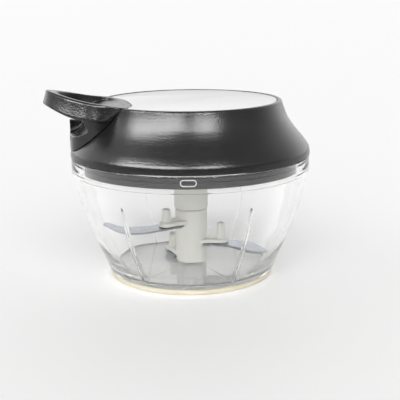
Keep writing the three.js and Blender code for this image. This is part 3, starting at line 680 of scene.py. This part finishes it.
def block_ring(z):
    T = float(U_HALF(z))
    ring, side, c = nose_ring(T, 0, z)
    R = float(shell_r(min(z, 90)))
    seam = max(math.sqrt(max(R * R - T * T, 0)), c + 4.0)
    face = []
    for a in np.linspace(0, math.pi, 61):
        y = T * math.cos(a)
        f = math.sqrt(FACE_R**2 - y * y)
        soft = min(max((85 - z) / 5, 0), 1) if y > 0 else 0
        face.append((seam + (f - seam) * max(1 - (abs(y) / T) ** (5 - 2.4 * soft), 0) ** (0.5 + 0.18 * soft), y, z))
    return ring + side + face + [(s, -y, z) for s, y, z in reversed(side)]


def pocket_rings(off, zs):
    rings = []
    for z in zs:
        T = float(U_HALF(z)) + off
        ring, side, _ = nose_ring(T, off, z - off)
        rings.append(ring + side + [(90, T, z - off), (90, -T, z - off)] + [(s, -y, q) for s, y, q in reversed(side)])
    return rings


BLOCK_Z = np.concatenate([68.6 + np.array([0, 0.1, 0.25, 0.4, 0.7, 1.1, 1.6]), np.linspace(70.8, 92.6, 36)])


def cutter(name="pocket"):
    rings = pocket_rings(GAP, BLOCK_Z)
    return spin(loft(name, rings + [[(x, y, 110) for x, y, _ in rings[-1]]]), GRIP_AZ)


def along(name, profile, seg=40):
    """Turned about the line of the cord; the profile's z runs outwards from the axis."""
    o = turned(name, profile, seg)
    o.data.transform(Matrix.Rotation(GRIP_AZ, 4, "Z") @ Matrix.Translation((0, 0, CORD_Z)) @ Matrix.Rotation(math.pi / 2, 4, "Y"))
    return o


def housing():
    zs = np.concatenate([np.linspace(64.75, 90.2, 64)])
    outer = [(float(shell_r(z)), float(z)) for z in zs]
    h = turned("lid_shell", rounded(
        [(60.4, 64.35, 0.2), (62.28, 64.35, 0.25)] + outer
        + [(47.72, 90.9, 0.5), (47.2, 91.75, 0.7), (45.35, 91.75, 0.35), (PLATE_R + GAP, 91.2), (PLATE_R + GAP, 89.0, 0.1), (0, 89.0), (0, 87.0), (46.2, 87.0, 0.6)]
        + [(float(shell_r(z)) - 2.3, float(z)) for z in (83.5, 81.5, 79, 76.5, 74, 71.5, 69.4)] + [(59.2, 67.6, 0.5), (60.4, 66.4, 0.3)]), 288)
    solid = turned("outer_solid", [(0, 64.35), (62.28, 64.35)] + outer + [(47.4, 91.0), (47.2, 91.7), (0, 91.7)], 288)
    walls = spin(loft("pocket_walls", pocket_rings(GAP + POCKET_T, BLOCK_Z[::2])), GRIP_AZ)
    low = turned("low", [(0, 64), (60.4, 64), (60.4, 66.4), (0, 66.4)], 96)
    inside = solid.copy()
    inside.data = solid.data.copy()
    scene.collection.objects.link(inside)
    cut(inside, low)
    shrink = Matrix.Diagonal((0.9985, 0.9985, 1, 1))
    inside.data.transform(shrink)
    common(walls, inside)
    join(h, walls)
    cut(h, cutter())
    cut(h, turned("plate_seat", [(0, 89.0), (PLATE_R + GAP, 89.0), (PLATE_R + GAP, 95), (0, 95)], 288))
    join(h, turned("centre_boss", [(0, 79.4), (6.0, 79.4), (6.0, 87.5), (0, 87.5)], 40))
    cut(h, turned("boss_bore", [(0, 78), (2.8, 78), (2.8, 85.6), (0, 85.6)], 32))
    for az in SCREW_AZ:
        x, y = SCREW_R * math.cos(az * RAD), SCREW_R * math.sin(az * RAD)
        boss = spin(turned("boss", [(0, 62.8), (3.6, 62.8), (3.6, 82), (0, 82)], 32), 0, x, y)
        room = turned("room", [(0, 62), (58, 62), (58, 66)] + [(float(shell_r(z)) - 0.6, float(z)) for z in np.linspace(68, 90, 12)] + [(0, 90)], 96)
        common(boss, room)
        join(h, boss)
        cut(h, spin(turned("screw_hole", [(0, 60), (1.65, 60), (1.65, 75), (0, 75)], 24), 0, x, y))
    cut(h, along("cord_hole", [(0, 26), (2.3, 26), (2.3, 36), (0, 36)]))
    bpy.data.objects.remove(solid)
    return h


def exact_normals(ob):
    """Normals of the turned outer face straight from its profile, so that the cut leaves no trace in the gloss."""
    me = ob.data
    me.shade_smooth()
    me.set_sharp_from_angle(angle=30 * RAD)
    co = np.zeros(len(me.vertices) * 3)
    me.vertices.foreach_get("co", co)
    co = co.reshape(-1, 3)
    normals = np.zeros(len(me.loops) * 3, np.float32)
    me.corner_normals.foreach_get("vector", normals)
    normals = normals.reshape(-1, 3)
    vi = np.zeros(len(me.loops), np.int32)
    me.loops.foreach_get("vertex_index", vi)
    face = np.zeros(len(me.polygons) * 3, np.float32)
    me.polygons.foreach_get("normal", face)
    face = face.reshape(-1, 3)
    total = np.zeros(len(me.polygons), np.int32)
    me.polygons.foreach_get("loop_total", total)
    fn = np.repeat(face, total, axis=0)
    p = co[vi]
    r = np.hypot(p[:, 0], p[:, 1])
    z = p[:, 2]
    on = (z > 65.0) & (z < 90.1) & (np.abs(r - shell_r(z)) < 0.03)
    slope = (shell_r(z + 0.05) - shell_r(z - 0.05)) / 0.1
    n = np.stack([p[:, 0] / np.maximum(r, 1e-6), p[:, 1] / np.maximum(r, 1e-6), -slope], 1)
    n /= np.linalg.norm(n, axis=1)[:, None]
    on &= np.sum(n * fn, axis=1) > math.cos(12 * RAD)
    normals[on] = n[on]
    me.normals_split_custom_set([tuple(v) for v in normals])


def by_place(ob, inner, test):
    """A second material for the faces for which test(centre, normal) holds."""
    ob.data.materials.clear()
    ob.data.materials.append(BLACK)
    ob.data.materials.append(inner)
    for f in ob.data.polygons:
        f.material_index = 1 if test(f.center, f.normal) else 0


h = housing()
exact_normals(h)
by_place(h, BLACK_IN, lambda c, n: math.hypot(c.x, c.y) < float(shell_r(c.z)) - 1.2 and c.z < 90.5)
piece(h, "lid", "housing", "black_plastic", BLACK, BLACK_IN, sharp=0)

plate = turned("lid_plate", [(0, 89.3), (PLATE_R, 89.3), (PLATE_R, 91.5), (0, 91.5)], 288)
cut(plate, cutter())
softened(plate, 0.35, 60, 3)
piece(plate, "lid", "top_plate", "plate_plastic", PLATE)


def top_z(s):
    return 91.2 + 0.091 * (s - 32) + 4.0 * ((s - 32) / 40) ** 2


BAND_H = pchip([(31, 7.4), (34, 7.6), (48, 8.45), (62, 9.1), (74, 7.0)])
LOOP = [(32.1, 0.6), (32.15, 3), (32.4, 9), (32.9, 13.5), (34, 17.2), (35.5, 20.6), (37, 23), (38.6, 24.6), (40.2, 25), (42, 24.5), (44.5, 23.7),
        (47, 23.1), (50, 22.7), (53, 22.4), (56, 21.9), (59, 20.8), (62, 19), (65, 16.3), (68, 12.6), (70.5, 9), (72.2, 6), (73.2, 3.4), (73.6, 1.4), (73.7, 0.3)]
INNER = [(35.6, 1.0), (35.7, 9), (36.5, 13.5), (38, 17.5), (40, 20.2), (42, 20.9), (44.5, 20.4), (47, 19.9), (50, 19.5), (52.7, 19.1), (55.4, 18.4), (58, 17.2), (60.6, 15.4), (63.2, 12.7), (65.9, 9.0), (67.0, 5.8), (67.6, 2.4), (67.75, 0.4)]
ROLL = [(35.7, 91.0), (38, 90.9), (41, 90.6), (44, 90.2), (47, 89.4), (49.5, 88.1), (51.2, 86.3), (52.4, 84.3), (53.4, 82.3), (54.6, 80.4), (56.3, 78.5), (58.3, 77.35), (60.5, 76.5), (62.5, 75.9), (66, 75.2), (90, 74.5)]


def rising(points):
    """Points with s strictly rising."""
    out = [points[0]]
    for q in points[1:]:
        if q[0] > out[-1][0] + 0.004:
            out.append(q)
    return out


def above_roll(name):
    line = spline(ROLL, 8)
    return loft(name, [[(s, y, z) for s, z in line + [(90, 110), (35.7, 110)]] for y in (-40, 40)], fan=False)


def grip():
    plan = rising(spline(LOOP, 6))
    rings = []
    for s, w in plan:
        tip = min(max((s - 52) / 16, 0), 1)
        root = min(max((s - 41) / 11, 0), 1) ** 1.3
        side = []
        for f in (0, 0.03, 0.1, 0.25, 0.45, 0.65, 0.8, 0.9, 0.96, 1.0):
            flare = 1.9 * (1 - f) ** 1.2 - 1.1 * max(f - 0.9, 0) / 0.1 * 0.5 - 1.0 * max(0.06 - f, 0) / 0.06
            z = top_z(s) - float(BAND_H(s)) * (1 - f)
            side.append((s + (flare - 0.45) * tip, w + root * flare * min(w / 8, 1) - (1 - root) * max(w - float(U_HALF(z)) - 0.1, 0), z))
        rings.append(side + [(q[0], -q[1], q[2]) for q in reversed(side)])
    band = loft("band", rings)
    under = loft("under", [[(s, -max(w, 3) + 0.15, 55), (s, max(w, 3) - 0.15, 55), (s, max(w, 3) - 0.15, top_z(s) - 0.02), (s, -max(w, 3) + 0.15, top_z(s) - 0.02)]
                           for s, w in rising([(31.9, 6.0)] + [(s, w) for s, w in plan if s > 31.95])], fan=False)
    fat = turned("fat", [(0, 63.3)] + [(float(shell_r(z)) + GAP, float(z)) for z in np.linspace(64.35, 90.4, 50)] + [(48.0, 91.0), (47.4, 91.75), (0, 91.75)], 192)
    cut(band, fat)
    g = loft("pull_grip", [block_ring(float(z)) for z in BLOCK_Z])
    common(g, under)
    join(g, band)
    inner = loft("inner", [[(s, -min(w, 15.2), top_z(s) - float(BAND_H(s)) - 4), (s, min(w, 15.2), top_z(s) - float(BAND_H(s)) - 4),
                            (s, w, top_z(s) - float(BAND_H(s)) + 1.2), (s, w, top_z(s) + 8), (s, -w, top_z(s) + 8), (s, -w, top_z(s) - float(BAND_H(s)) + 1.2)]
                           for s, w in rising(spline(INNER, 6))], fan=False)
    common(inner, above_roll("roll1"))
    near = pchip([(38, 12), (52, 12.2), (54, 13.2), (55.6, 15.1), (57.5, 17.8), (59.5, 20.8), (62, 24.5), (66, 30)])
    far = pchip([(38, 11.6), (52, 11.6), (54.5, 10.8), (57, 9.8), (61, 8.8), (66, 8.2)])
    eyes = []
    for s in np.linspace(38, 66, 40):
        a, b = float(near(s)), float(far(s))
        ring = []
        for q in np.linspace(0, 2 * math.pi, 72, endpoint=False):
            cq, sq = math.cos(q), math.sin(q)
            if cq > 0:
                ring.append((s, a * cq, 80.5 + (6.0 if sq > 0 else 5.0) * sq))
            else:
                ring.append((s, -b * abs(cq) ** 0.55, 80.5 + (6.0 if sq > 0 else 5.0) * math.copysign(abs(sq) ** 0.55, sq)))
        eyes.append(ring)
    eye = loft("eye", eyes, fan=False)
    common(eye, above_roll("roll2"))
    cut(g, inner)
    cut(g, eye)
    spin(g, GRIP_AZ)
    cut(g, along("hole", [(0, 28), (1.7, 28), (1.7, 46.5), (2.75, 46.5), (2.75, 57.2), (1.0, 58.8), (1.0, 64), (0, 64)]))
    remeshed(g, 0.30, 6)
    return g


g = grip()
piece(g, "grip", "grip", "black_plastic", BLACK, sharp=0)


# ---------------------------------------------------------------- pull cord
def twist(i, a, along_):
    """Radius of an eight-strand braid."""
    return 0.93 + 0.05 * (abs(math.sin(2 * a + along_ * 1.6)) + abs(math.sin(2 * a - along_ * 1.6)))


def cord():
    leave_r = 19.6
    ta = math.acos(leave_r / 28.4)
    lx, ly = leave_r * math.cos(ta), -leave_r * math.sin(ta)
    pts = [(lx + (28.4 - lx) * k, ly * (1 - k), CORD_Z - 0.8 * (1 - k)) for k in (0.0, 0.3, 0.6, 0.85)]
    pts += [(29.4, -0.06, CORD_Z), (31.4, 0, CORD_Z)]
    line = spline(pts, 22)
    line += [(s, 0, CORD_Z) for s in np.linspace(31.45, 33.6, 60)] + [(s, 0, CORD_Z) for s in np.linspace(33.8, 47.4, 70)]
    c = tube("drawn_cord", line, 1.0, 24, twist)
    spin(c, GRIP_AZ)
    return c


c = cord()
piece(c, None, "pull_cord", "cord", CORD, sharp=0)
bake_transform(c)


def knot():
    k = 0.60
    pts = []
    for t in np.linspace(0, 2 * math.pi, 120, endpoint=False):
        x, y, z = math.sin(t) + 2 * math.sin(2 * t), math.cos(t) - 2 * math.cos(2 * t), -math.sin(3 * t)
        pts.append((50.1 + 0.95 * z * k * 1.5, x * k, CORD_Z + y * k))
    n = len(pts)
    p = np.array(pts)
    t = np.roll(p, -1, 0) - np.roll(p, 1, 0)
    t /= np.linalg.norm(t, axis=1)[:, None]
    verts, faces, seg = [], [], 16
    centre = p.mean(0)
    for i in range(n):
        u = p[i] - centre
        u = u - t[i] * (u @ t[i])
        u /= np.linalg.norm(u)
        v = np.cross(t[i], u)
        for j in range(seg):
            a = 2 * math.pi * j / seg
            r = 0.78 + 0.04 * math.sin(3 * a + i * 0.8)
            verts.append(tuple(p[i] + r * (math.cos(a) * u + math.sin(a) * v)))
    for i in range(n):
        for j in range(seg):
            faces.append((i * seg + j, i * seg + (j + 1) % seg, ((i + 1) % n) * seg + (j + 1) % seg, ((i + 1) % n) * seg + j))
    o = object_of("tied_knot", verts, faces)
    core = tube("tail", [(s, 0.2 * math.sin(s), CORD_Z + 0.15 * math.cos(s)) for s in np.linspace(47.7, 53.4, 24)], 0.85, 16, lambda i, a, q: 0.78 + 0.06 * abs(math.sin(2 * a + q * 1.6)) - (0.25 if i > 22 else 0))
    join(o, core)
    return spin(o, GRIP_AZ)


piece(knot(), "grip", "cord_knot", "cord", CORD, sharp=0)
piece(along("eyelet", rounded([(1.6, 29.0, 0.15), (3.3, 29.0, 0.15), (3.3, 29.35, 0.1), (2.0, 29.4, 0.1), (2.0, 31.4, 0.1), (1.45, 31.4, 0.2)]), 48),
      "lid", "cord_eyelet", "steel", STEEL)

# ---------------------------------------------------------------------- reel
Z0 = 69.2
reel = turned("reel", rounded([
    (0, 41.4), (4.7, 41.4, 0.3), (4.7, 57.3, 0.2), (6.5, 57.6, 0.2), (6.5, Z0 - 1, 0.2), (9.0, Z0 - 1, 0.2), (9.0, Z0, 0.3), (24.6, Z0, 0.3), (25.0, Z0 + 0.4, 0.2), (25.0, Z0 + 1.4, 0.3),
    (14.5, Z0 + 1.8, 0.3), (14.5, 76.4, 0.3), (25.0, 76.8, 0.3), (25.0, 83.6, 0.3), (23.4, 83.6, 0.3), (23.4, 78.2, 0.4), (4.6, 78.2), (4.6, 78.6, 0.1), (2.85, 78.6, 0.1), (2.85, 62.0), (0, 62.0)], closed=False), 128)
cut(reel, turned("stub_bore", [(0, 40), (1.6, 40), (1.6, 50), (0, 50)], 24))
for k in range(6):
    cut(reel, spin(turned("hole", [(0, Z0 - 0.5), (2.1, Z0 - 0.5), (2.1, Z0 + 3), (0, Z0 + 3)], 24), 0, 20.5 * math.cos(k * 60 * RAD), 20.5 * math.sin(k * 60 * RAD)))
piece(reel, "reel", "cord_reel", "white_plastic", WHITE)


def winding():
    """Four turns of cord in two layers."""
    pts = []
    for i in range(200):
        t = i / 199
        layer = 0 if t < 0.5 else 1
        q = (t * 2) % 1 if t < 1 else 1.0
        z = 72.5 + 2.3 * q if layer == 0 else 74.8 - 2.3 * q
        blend_r = min(max((t - 0.47) / 0.06, 0), 1)
        r = 15.85 + 1.35 * blend_r * blend_r * (3 - 2 * blend_r)
        a = 2 * math.pi * 4 * t
        pts.append((r * math.cos(a), r * math.sin(a), z))
    return tube("winding", pts, 1.0, 16, lambda i, a, q: 0.93 + 0.05 * abs(math.sin(2 * a + q * 1.6)))


piece(winding(), "reel", "wound_cord", "cord", CORD, sharp=0)
piece(turned("spring_lid", rounded([(8.6, 83.95, 0.2), (24.9, 83.95, 0.2), (24.9, 84.95, 0.25), (8.6, 84.95, 0.2)]), 128), "reel", "spring_cover", "grey_plastic", GREY)
piece(turned("axle", rounded([(0, 62.4), (2.5, 62.4, 0.4), (2.5, 84.9, 0.5), (2.1, 85.3, 0.2), (0, 85.3)], closed=False), 48), "lid", "reel_axle", "steel", STEEL)


def spring():
    turns, r0, r1, t, n = 6, 6.5, 22.6, 0.42, 6 * 72
    outer, inner = [], []
    for i in range(n + 1):
        a = 2 * math.pi * turns * i / n
        r = r0 + (r1 - r0 - t) * i / n
        outer.append(((r + t) * math.cos(a), (r + t) * math.sin(a)))
        inner.append((r * math.cos(a), r * math.sin(a)))
    verts, faces = [], []
    for (ox, oy), (ix, iy) in zip(outer, inner):
        verts += [(ix, iy, 78.9), (ox, oy, 78.9), (ox, oy, 83.4), (ix, iy, 83.4)]
    for i in range(n):
        for j in range(4):
            faces.append((4 * i + j, 4 * i + (j + 1) % 4, 4 * i + 4 + (j + 1) % 4, 4 * i + 4 + j))
    faces += [(0, 1, 2, 3), (4 * n, 4 * n + 1, 4 * n + 2, 4 * n + 3)]
    return object_of("power_spring", verts, faces)


piece(spring(), "lid", "spiral_spring", "steel", brushed("blue_spring_steel", (0.30, 0.33, 0.40), (0.42, 0.44, 0.50), (0.22, 0.34), (1, 1, 12)))

# ------------------------------------------------------------------ lid base
base = turned("lid_underside", rounded([
    (9.6, 57.6, 0.3), (56.2, 57.6, 0.3), (57.0, 57.2, 0.2), (57.35, 57.6, 0.2), (57.35, 60.2, 0.2), (56.0, 60.2, 0.1), (56.0, 62.6, 0.1), (57.35, 62.6, 0.2), (57.35, 65.9, 0.3), (55.6, 65.9, 0.3),
    (54.2, 65.0, 0.3), (54.2, 59.8, 0.6), (12.4, 59.8, 0.3), (12.4, 63.2, 0.3), (9.6, 63.2, 0.3)]), 224)
for az in SCREW_AZ:
    x, y = SCREW_R * math.cos(az * RAD), SCREW_R * math.sin(az * RAD)
    join(base, spin(turned("seat", [(0, 59.0), (4.9, 59.0), (4.9, 62.4), (0, 62.4)], 32), 0, x, y))
    cut(base, spin(turned("sink", [(0, 57), (3.4, 57), (3.3, 57.7), (3.3, 60.6), (0, 60.6)], 32), 0, x, y))
    cut(base, spin(turned("through", [(0, 57), (1.75, 57), (1.75, 64), (0, 64)], 24), 0, x, y))
for k in range(3):
    groove = turned("groove", [(24 + 11 * k, 57.3), (24.5 + 11 * k, 57.3), (24.5 + 11 * k, 57.85), (24 + 11 * k, 57.85)], 192)
    cut(base, groove)
piece(base, "lid", "lid_base", "black_plastic", PLUG, sharp=30)
piece(turned("seal", rounded([(56.15, 60.4, 0.2), (57.2, 60.4, 0.15), (57.5, 60.7, 0.2), (57.5, 62.1, 0.2), (57.2, 62.4, 0.15), (56.15, 62.4, 0.2)]), 192), "lid", "seal_ring", "black_rubber", SEAL)
piece(turned("bushing", rounded([(6.85, 58.2, 0.3), (9.25, 58.2, 0.2), (9.25, 63.55, 0.2), (11.6, 63.55, 0.2), (11.6, 67.4, 0.3), (6.85, 67.4, 0.3)]), 64), "lid", "reel_bushing", "natural_plastic", NATURAL)


def screw(name, head_z, head_h, head_r, tip_z, shank=1.35, pitch=1.25):
    """Pan head with a cross recess, and a real helical thread."""
    seg, rows, verts = 32, [], []
    zs = [head_z, head_z, head_z + 0.12, head_z + 0.5, head_z + head_h, head_z + head_h + 0.05]
    rr = [0.0, head_r - 0.5, head_r - 0.2, head_r, head_r, shank * 0.86]
    thread = np.arange(head_z + head_h + 0.2, tip_z - 1.2, 0.14)
    for z, r in zip(zs, rr):
        rows.append((z, r, 0))
    rows += [(z, shank * 0.86, 1) for z in thread]
    rows += [(tip_z - 1.2, shank * 0.8, 0), (tip_z - 0.1, 0.35, 0), (tip_z, 0.0, 0)]
    faces, idx = [], []
    for z, r, th in rows:
        ring = []
        if r < 1e-6:
            verts.append((0, 0, z))
            ring = [len(verts) - 1] * seg
        else:
            for j in range(seg):
                a = 2 * math.pi * j / seg
                q = r
                if th:
                    f = ((z - head_z) / pitch - j / seg) % 1.0
                    q = r + shank * 0.20 * max(0.0, 1 - abs(f - 0.5) / 0.28)
                verts.append((q * math.cos(a), q * math.sin(a), z))
                ring.append(len(verts) - 1)
        idx.append(ring)
    for a, b in zip(idx, idx[1:]):
        for i in range(seg):
            j = (i + 1) % seg
            f = []
            for v in (a[i], a[j], b[j], b[i]):
                if v not in f:
                    f.append(v)
            if len(f) > 2:
                faces.append(f)
    o = object_of(name, verts, faces)
    d = 0.62 * head_r
    for k in range(2):
        w = loft("cross", [[(-x, -0.32 * q, z), (x, -0.32 * q, z), (x, 0.32 * q, z), (-x, 0.32 * q, z)] for x, z, q in ((d * 1.02, head_z - 0.3, 1.1), (d * 0.45, head_z + 1.3, 0.8))], fan=False)
        cut(o, spin(w, k * math.pi / 2 + 0.3))
    return o


for i, az in enumerate(SCREW_AZ):
    piece(spin(screw(f"lid_screw_{i + 1}", 57.9, 2.3, 2.9, 74.4), 0.5 * i, SCREW_R * math.cos(az * RAD), SCREW_R * math.sin(az * RAD)),
          "lid", f"cover_screw_{i + 1}", "steel", STEEL, sharp=30)

# ------------------------------------------------------------ drive coupling
drive = turned("coupling", rounded([
    (0, 29.2), (3.3, 29.2), (3.3, 35.4, 0.1), (8.75, 35.4, 0.3), (9.0, 36.2, 0.5), (9.1, 41.5), (9.35, 45.0), (9.9, 48.5), (10.6, 52.0), (11.3, 56.9, 0.4), (5.05, 56.9), (5.05, 41.0), (0, 41.0)], closed=False), 128)
six = hexagon(10.2, 29.2, 36.2, "six")
softened(six, 0.4, 40, 3)
join(drive, six)
cut(drive, turned("head_room", [(0, 28), (3.2, 28), (3.2, 38.2), (0, 38.2)], 32))
cut(drive, turned("screw_room", [(0, 36), (1.75, 36), (1.75, 42), (0, 42)], 24))
piece(drive, "reel", "drive_coupling", "white_plastic", WHITE, sharp=32)
piece(screw("drive_screw", 35.2, 2.6, 2.7, 49.4), "reel", "coupling_screw", "steel", STEEL, sharp=30)


# ------------------------------------------------------------- floor, lights
def floor():
    """Pale table that runs out to the horizon, its colour painted a little lighter towards the back as painted light.
    """
    me = bpy.data.meshes.new("table")
    me.from_pydata([(-20, -5, 0), (20, -5, 0), (20, 45, 0), (-20, 45, 0)], [], [(0, 1, 2, 3)])
    ob = bpy.data.objects.new("table", me)
    scene.collection.objects.link(ob)
    m, t, p = material("pale_table", (0.86, 0.86, 0.86), 0.6)
    p.inputs["Specular IOR Level"].default_value = 0.3
    v = coords(t)
    sep = t.nodes.new("ShaderNodeSeparateXYZ")
    t.links.new(v, sep.inputs["Vector"])
    # Painted light: the colour lightens with distance behind the object, standing in for brighter light there.
    far = spread(t, sep.outputs["Y"], 0.0, 1.0, -0.15, 0.45)
    t.links.new(tint(t, far, (0.865, 0.865, 0.86), (0.89, 0.885, 0.895), 0.0, 1.0), p.inputs["Base Color"])
    me.materials.append(m)


# Light of the room by direction, every 45 degrees from the back over the left,
# the camera's side and the right to the back again: near the horizon, half way
# up, and overhead.
ROOM_LOW = (0.85, 2.1, 0.5, 0.15, 0.1, 0.15, 0.5, 1.7)
ROOM_MID = (2.4, 0.9, 1.5, 1.2, 1.0, 0.9, 0.6, 1.1)
ROOM_TOP = 0.45


def room():
    w = bpy.data.worlds.new("studio")
    scene.world = w
    w.use_nodes = True
    t = w.node_tree
    bg = t.nodes["Background"]
    c = t.nodes.new("ShaderNodeTexCoord")
    sep = t.nodes.new("ShaderNodeSeparateXYZ")
    t.links.new(c.outputs["Generated"], sep.inputs["Vector"])

    def math_node(kind, a, b):
        n = t.nodes.new("ShaderNodeMath")
        n.operation = kind
        for k, v in enumerate((a, b)):
            if isinstance(v, (int, float)):
                n.inputs[k].default_value = v
            else:
                t.links.new(v, n.inputs[k])
        return n.outputs[0]

    def ramp(value, stops):
        r = t.nodes.new("ShaderNodeValToRGB")
        e = r.color_ramp.elements
        while len(e) > 1:
            e.remove(e[-1])
        e[0].position, e[0].color = stops[0][0], (*[stops[0][1]] * 3, 1)
        for pos, v in stops[1:]:
            k = e.new(pos)
            k.color = (v, v, v, 1)
        t.links.new(value, r.inputs["Fac"])
        return r.outputs["Color"]

    around = math_node("ARCTAN2", sep.outputs["X"], math_node("MULTIPLY", sep.outputs["Y"], -1))
    turn = spread(t, around, 0.0, 1.0, -math.pi, math.pi)
    total = math_node("MULTIPLY", ramp(sep.outputs["Z"], [(0, 0), (0.5, 0), (0.85, 1), (1, 1)]), ROOM_TOP)
    for band, rise in ((ROOM_LOW, [(0, 1), (0.17, 1), (0.5, 0), (1, 0)]), (ROOM_MID, [(0, 0), (0.17, 0), (0.5, 1), (0.85, 0), (1, 0)])):
        peak = max(band)
        ring = ramp(turn, [(j / 8, band[j % 8] / peak) for j in range(9)])
        total = math_node("ADD", total, math_node("MULTIPLY", math_node("MULTIPLY", ring, ramp(sep.outputs["Z"], rise)), peak))
    t.links.new(total, bg.inputs["Strength"])
    bg.inputs["Color"].default_value = (1, 1, 1, 1)


def panel(name, azimuth, elevation, distance, wide, high, power, gloss=True, fill=True):
    """Soft box; azimuth 0 is on the camera's side, positive to the right."""
    a, e = azimuth * RAD, elevation * RAD
    away = Vector((math.sin(a) * math.cos(e), -math.cos(a) * math.cos(e), math.sin(e)))
    light = bpy.data.lights.new(name, "AREA")
    light.shape, light.size, light.size_y, light.energy = "RECTANGLE", wide, high, power
    ob = bpy.data.objects.new(name, light)
    ob.location = Vector((AXIS_X * 0.001, 0, 0.07)) + away * distance
    ob.rotation_euler = (-away).to_track_quat("-Z", "Y").to_euler()
    ob.visible_camera = False
    ob.visible_glossy = gloss
    ob.visible_diffuse = ob.visible_transmission = fill
    scene.collection.objects.link(ob)


def daylight(azimuth, elevation, strength, angle):
    """Even light from the camera's side that makes no highlight."""
    a, e = azimuth * RAD, elevation * RAD
    light = bpy.data.lights.new("daylight", "SUN")
    light.energy, light.angle = strength, angle * RAD
    ob = bpy.data.objects.new("daylight", light)
    ob.rotation_euler = Vector((-math.sin(a) * math.cos(e), math.cos(a) * math.cos(e), -math.sin(e))).to_track_quat("-Z", "Y").to_euler()
    ob.visible_glossy = False
    scene.collection.objects.link(ob)


floor()
room()
daylight(0, 34, 1.6, 60)
panel("window_left", -42, 36, 1.1, 1.26, 0.52, 27.0, fill=False)
panel("window_right", 19, 36, 1.1, 0.46, 0.50, 9.0, fill=False)

# Clear plastic needs many passes of light, and unblurred ones.
scene.cycles.max_bounces = 32
scene.cycles.transmission_bounces = 32
scene.cycles.glossy_bounces = 12
scene.cycles.diffuse_bounces = 6
scene.cycles.blur_glossy = 0.0
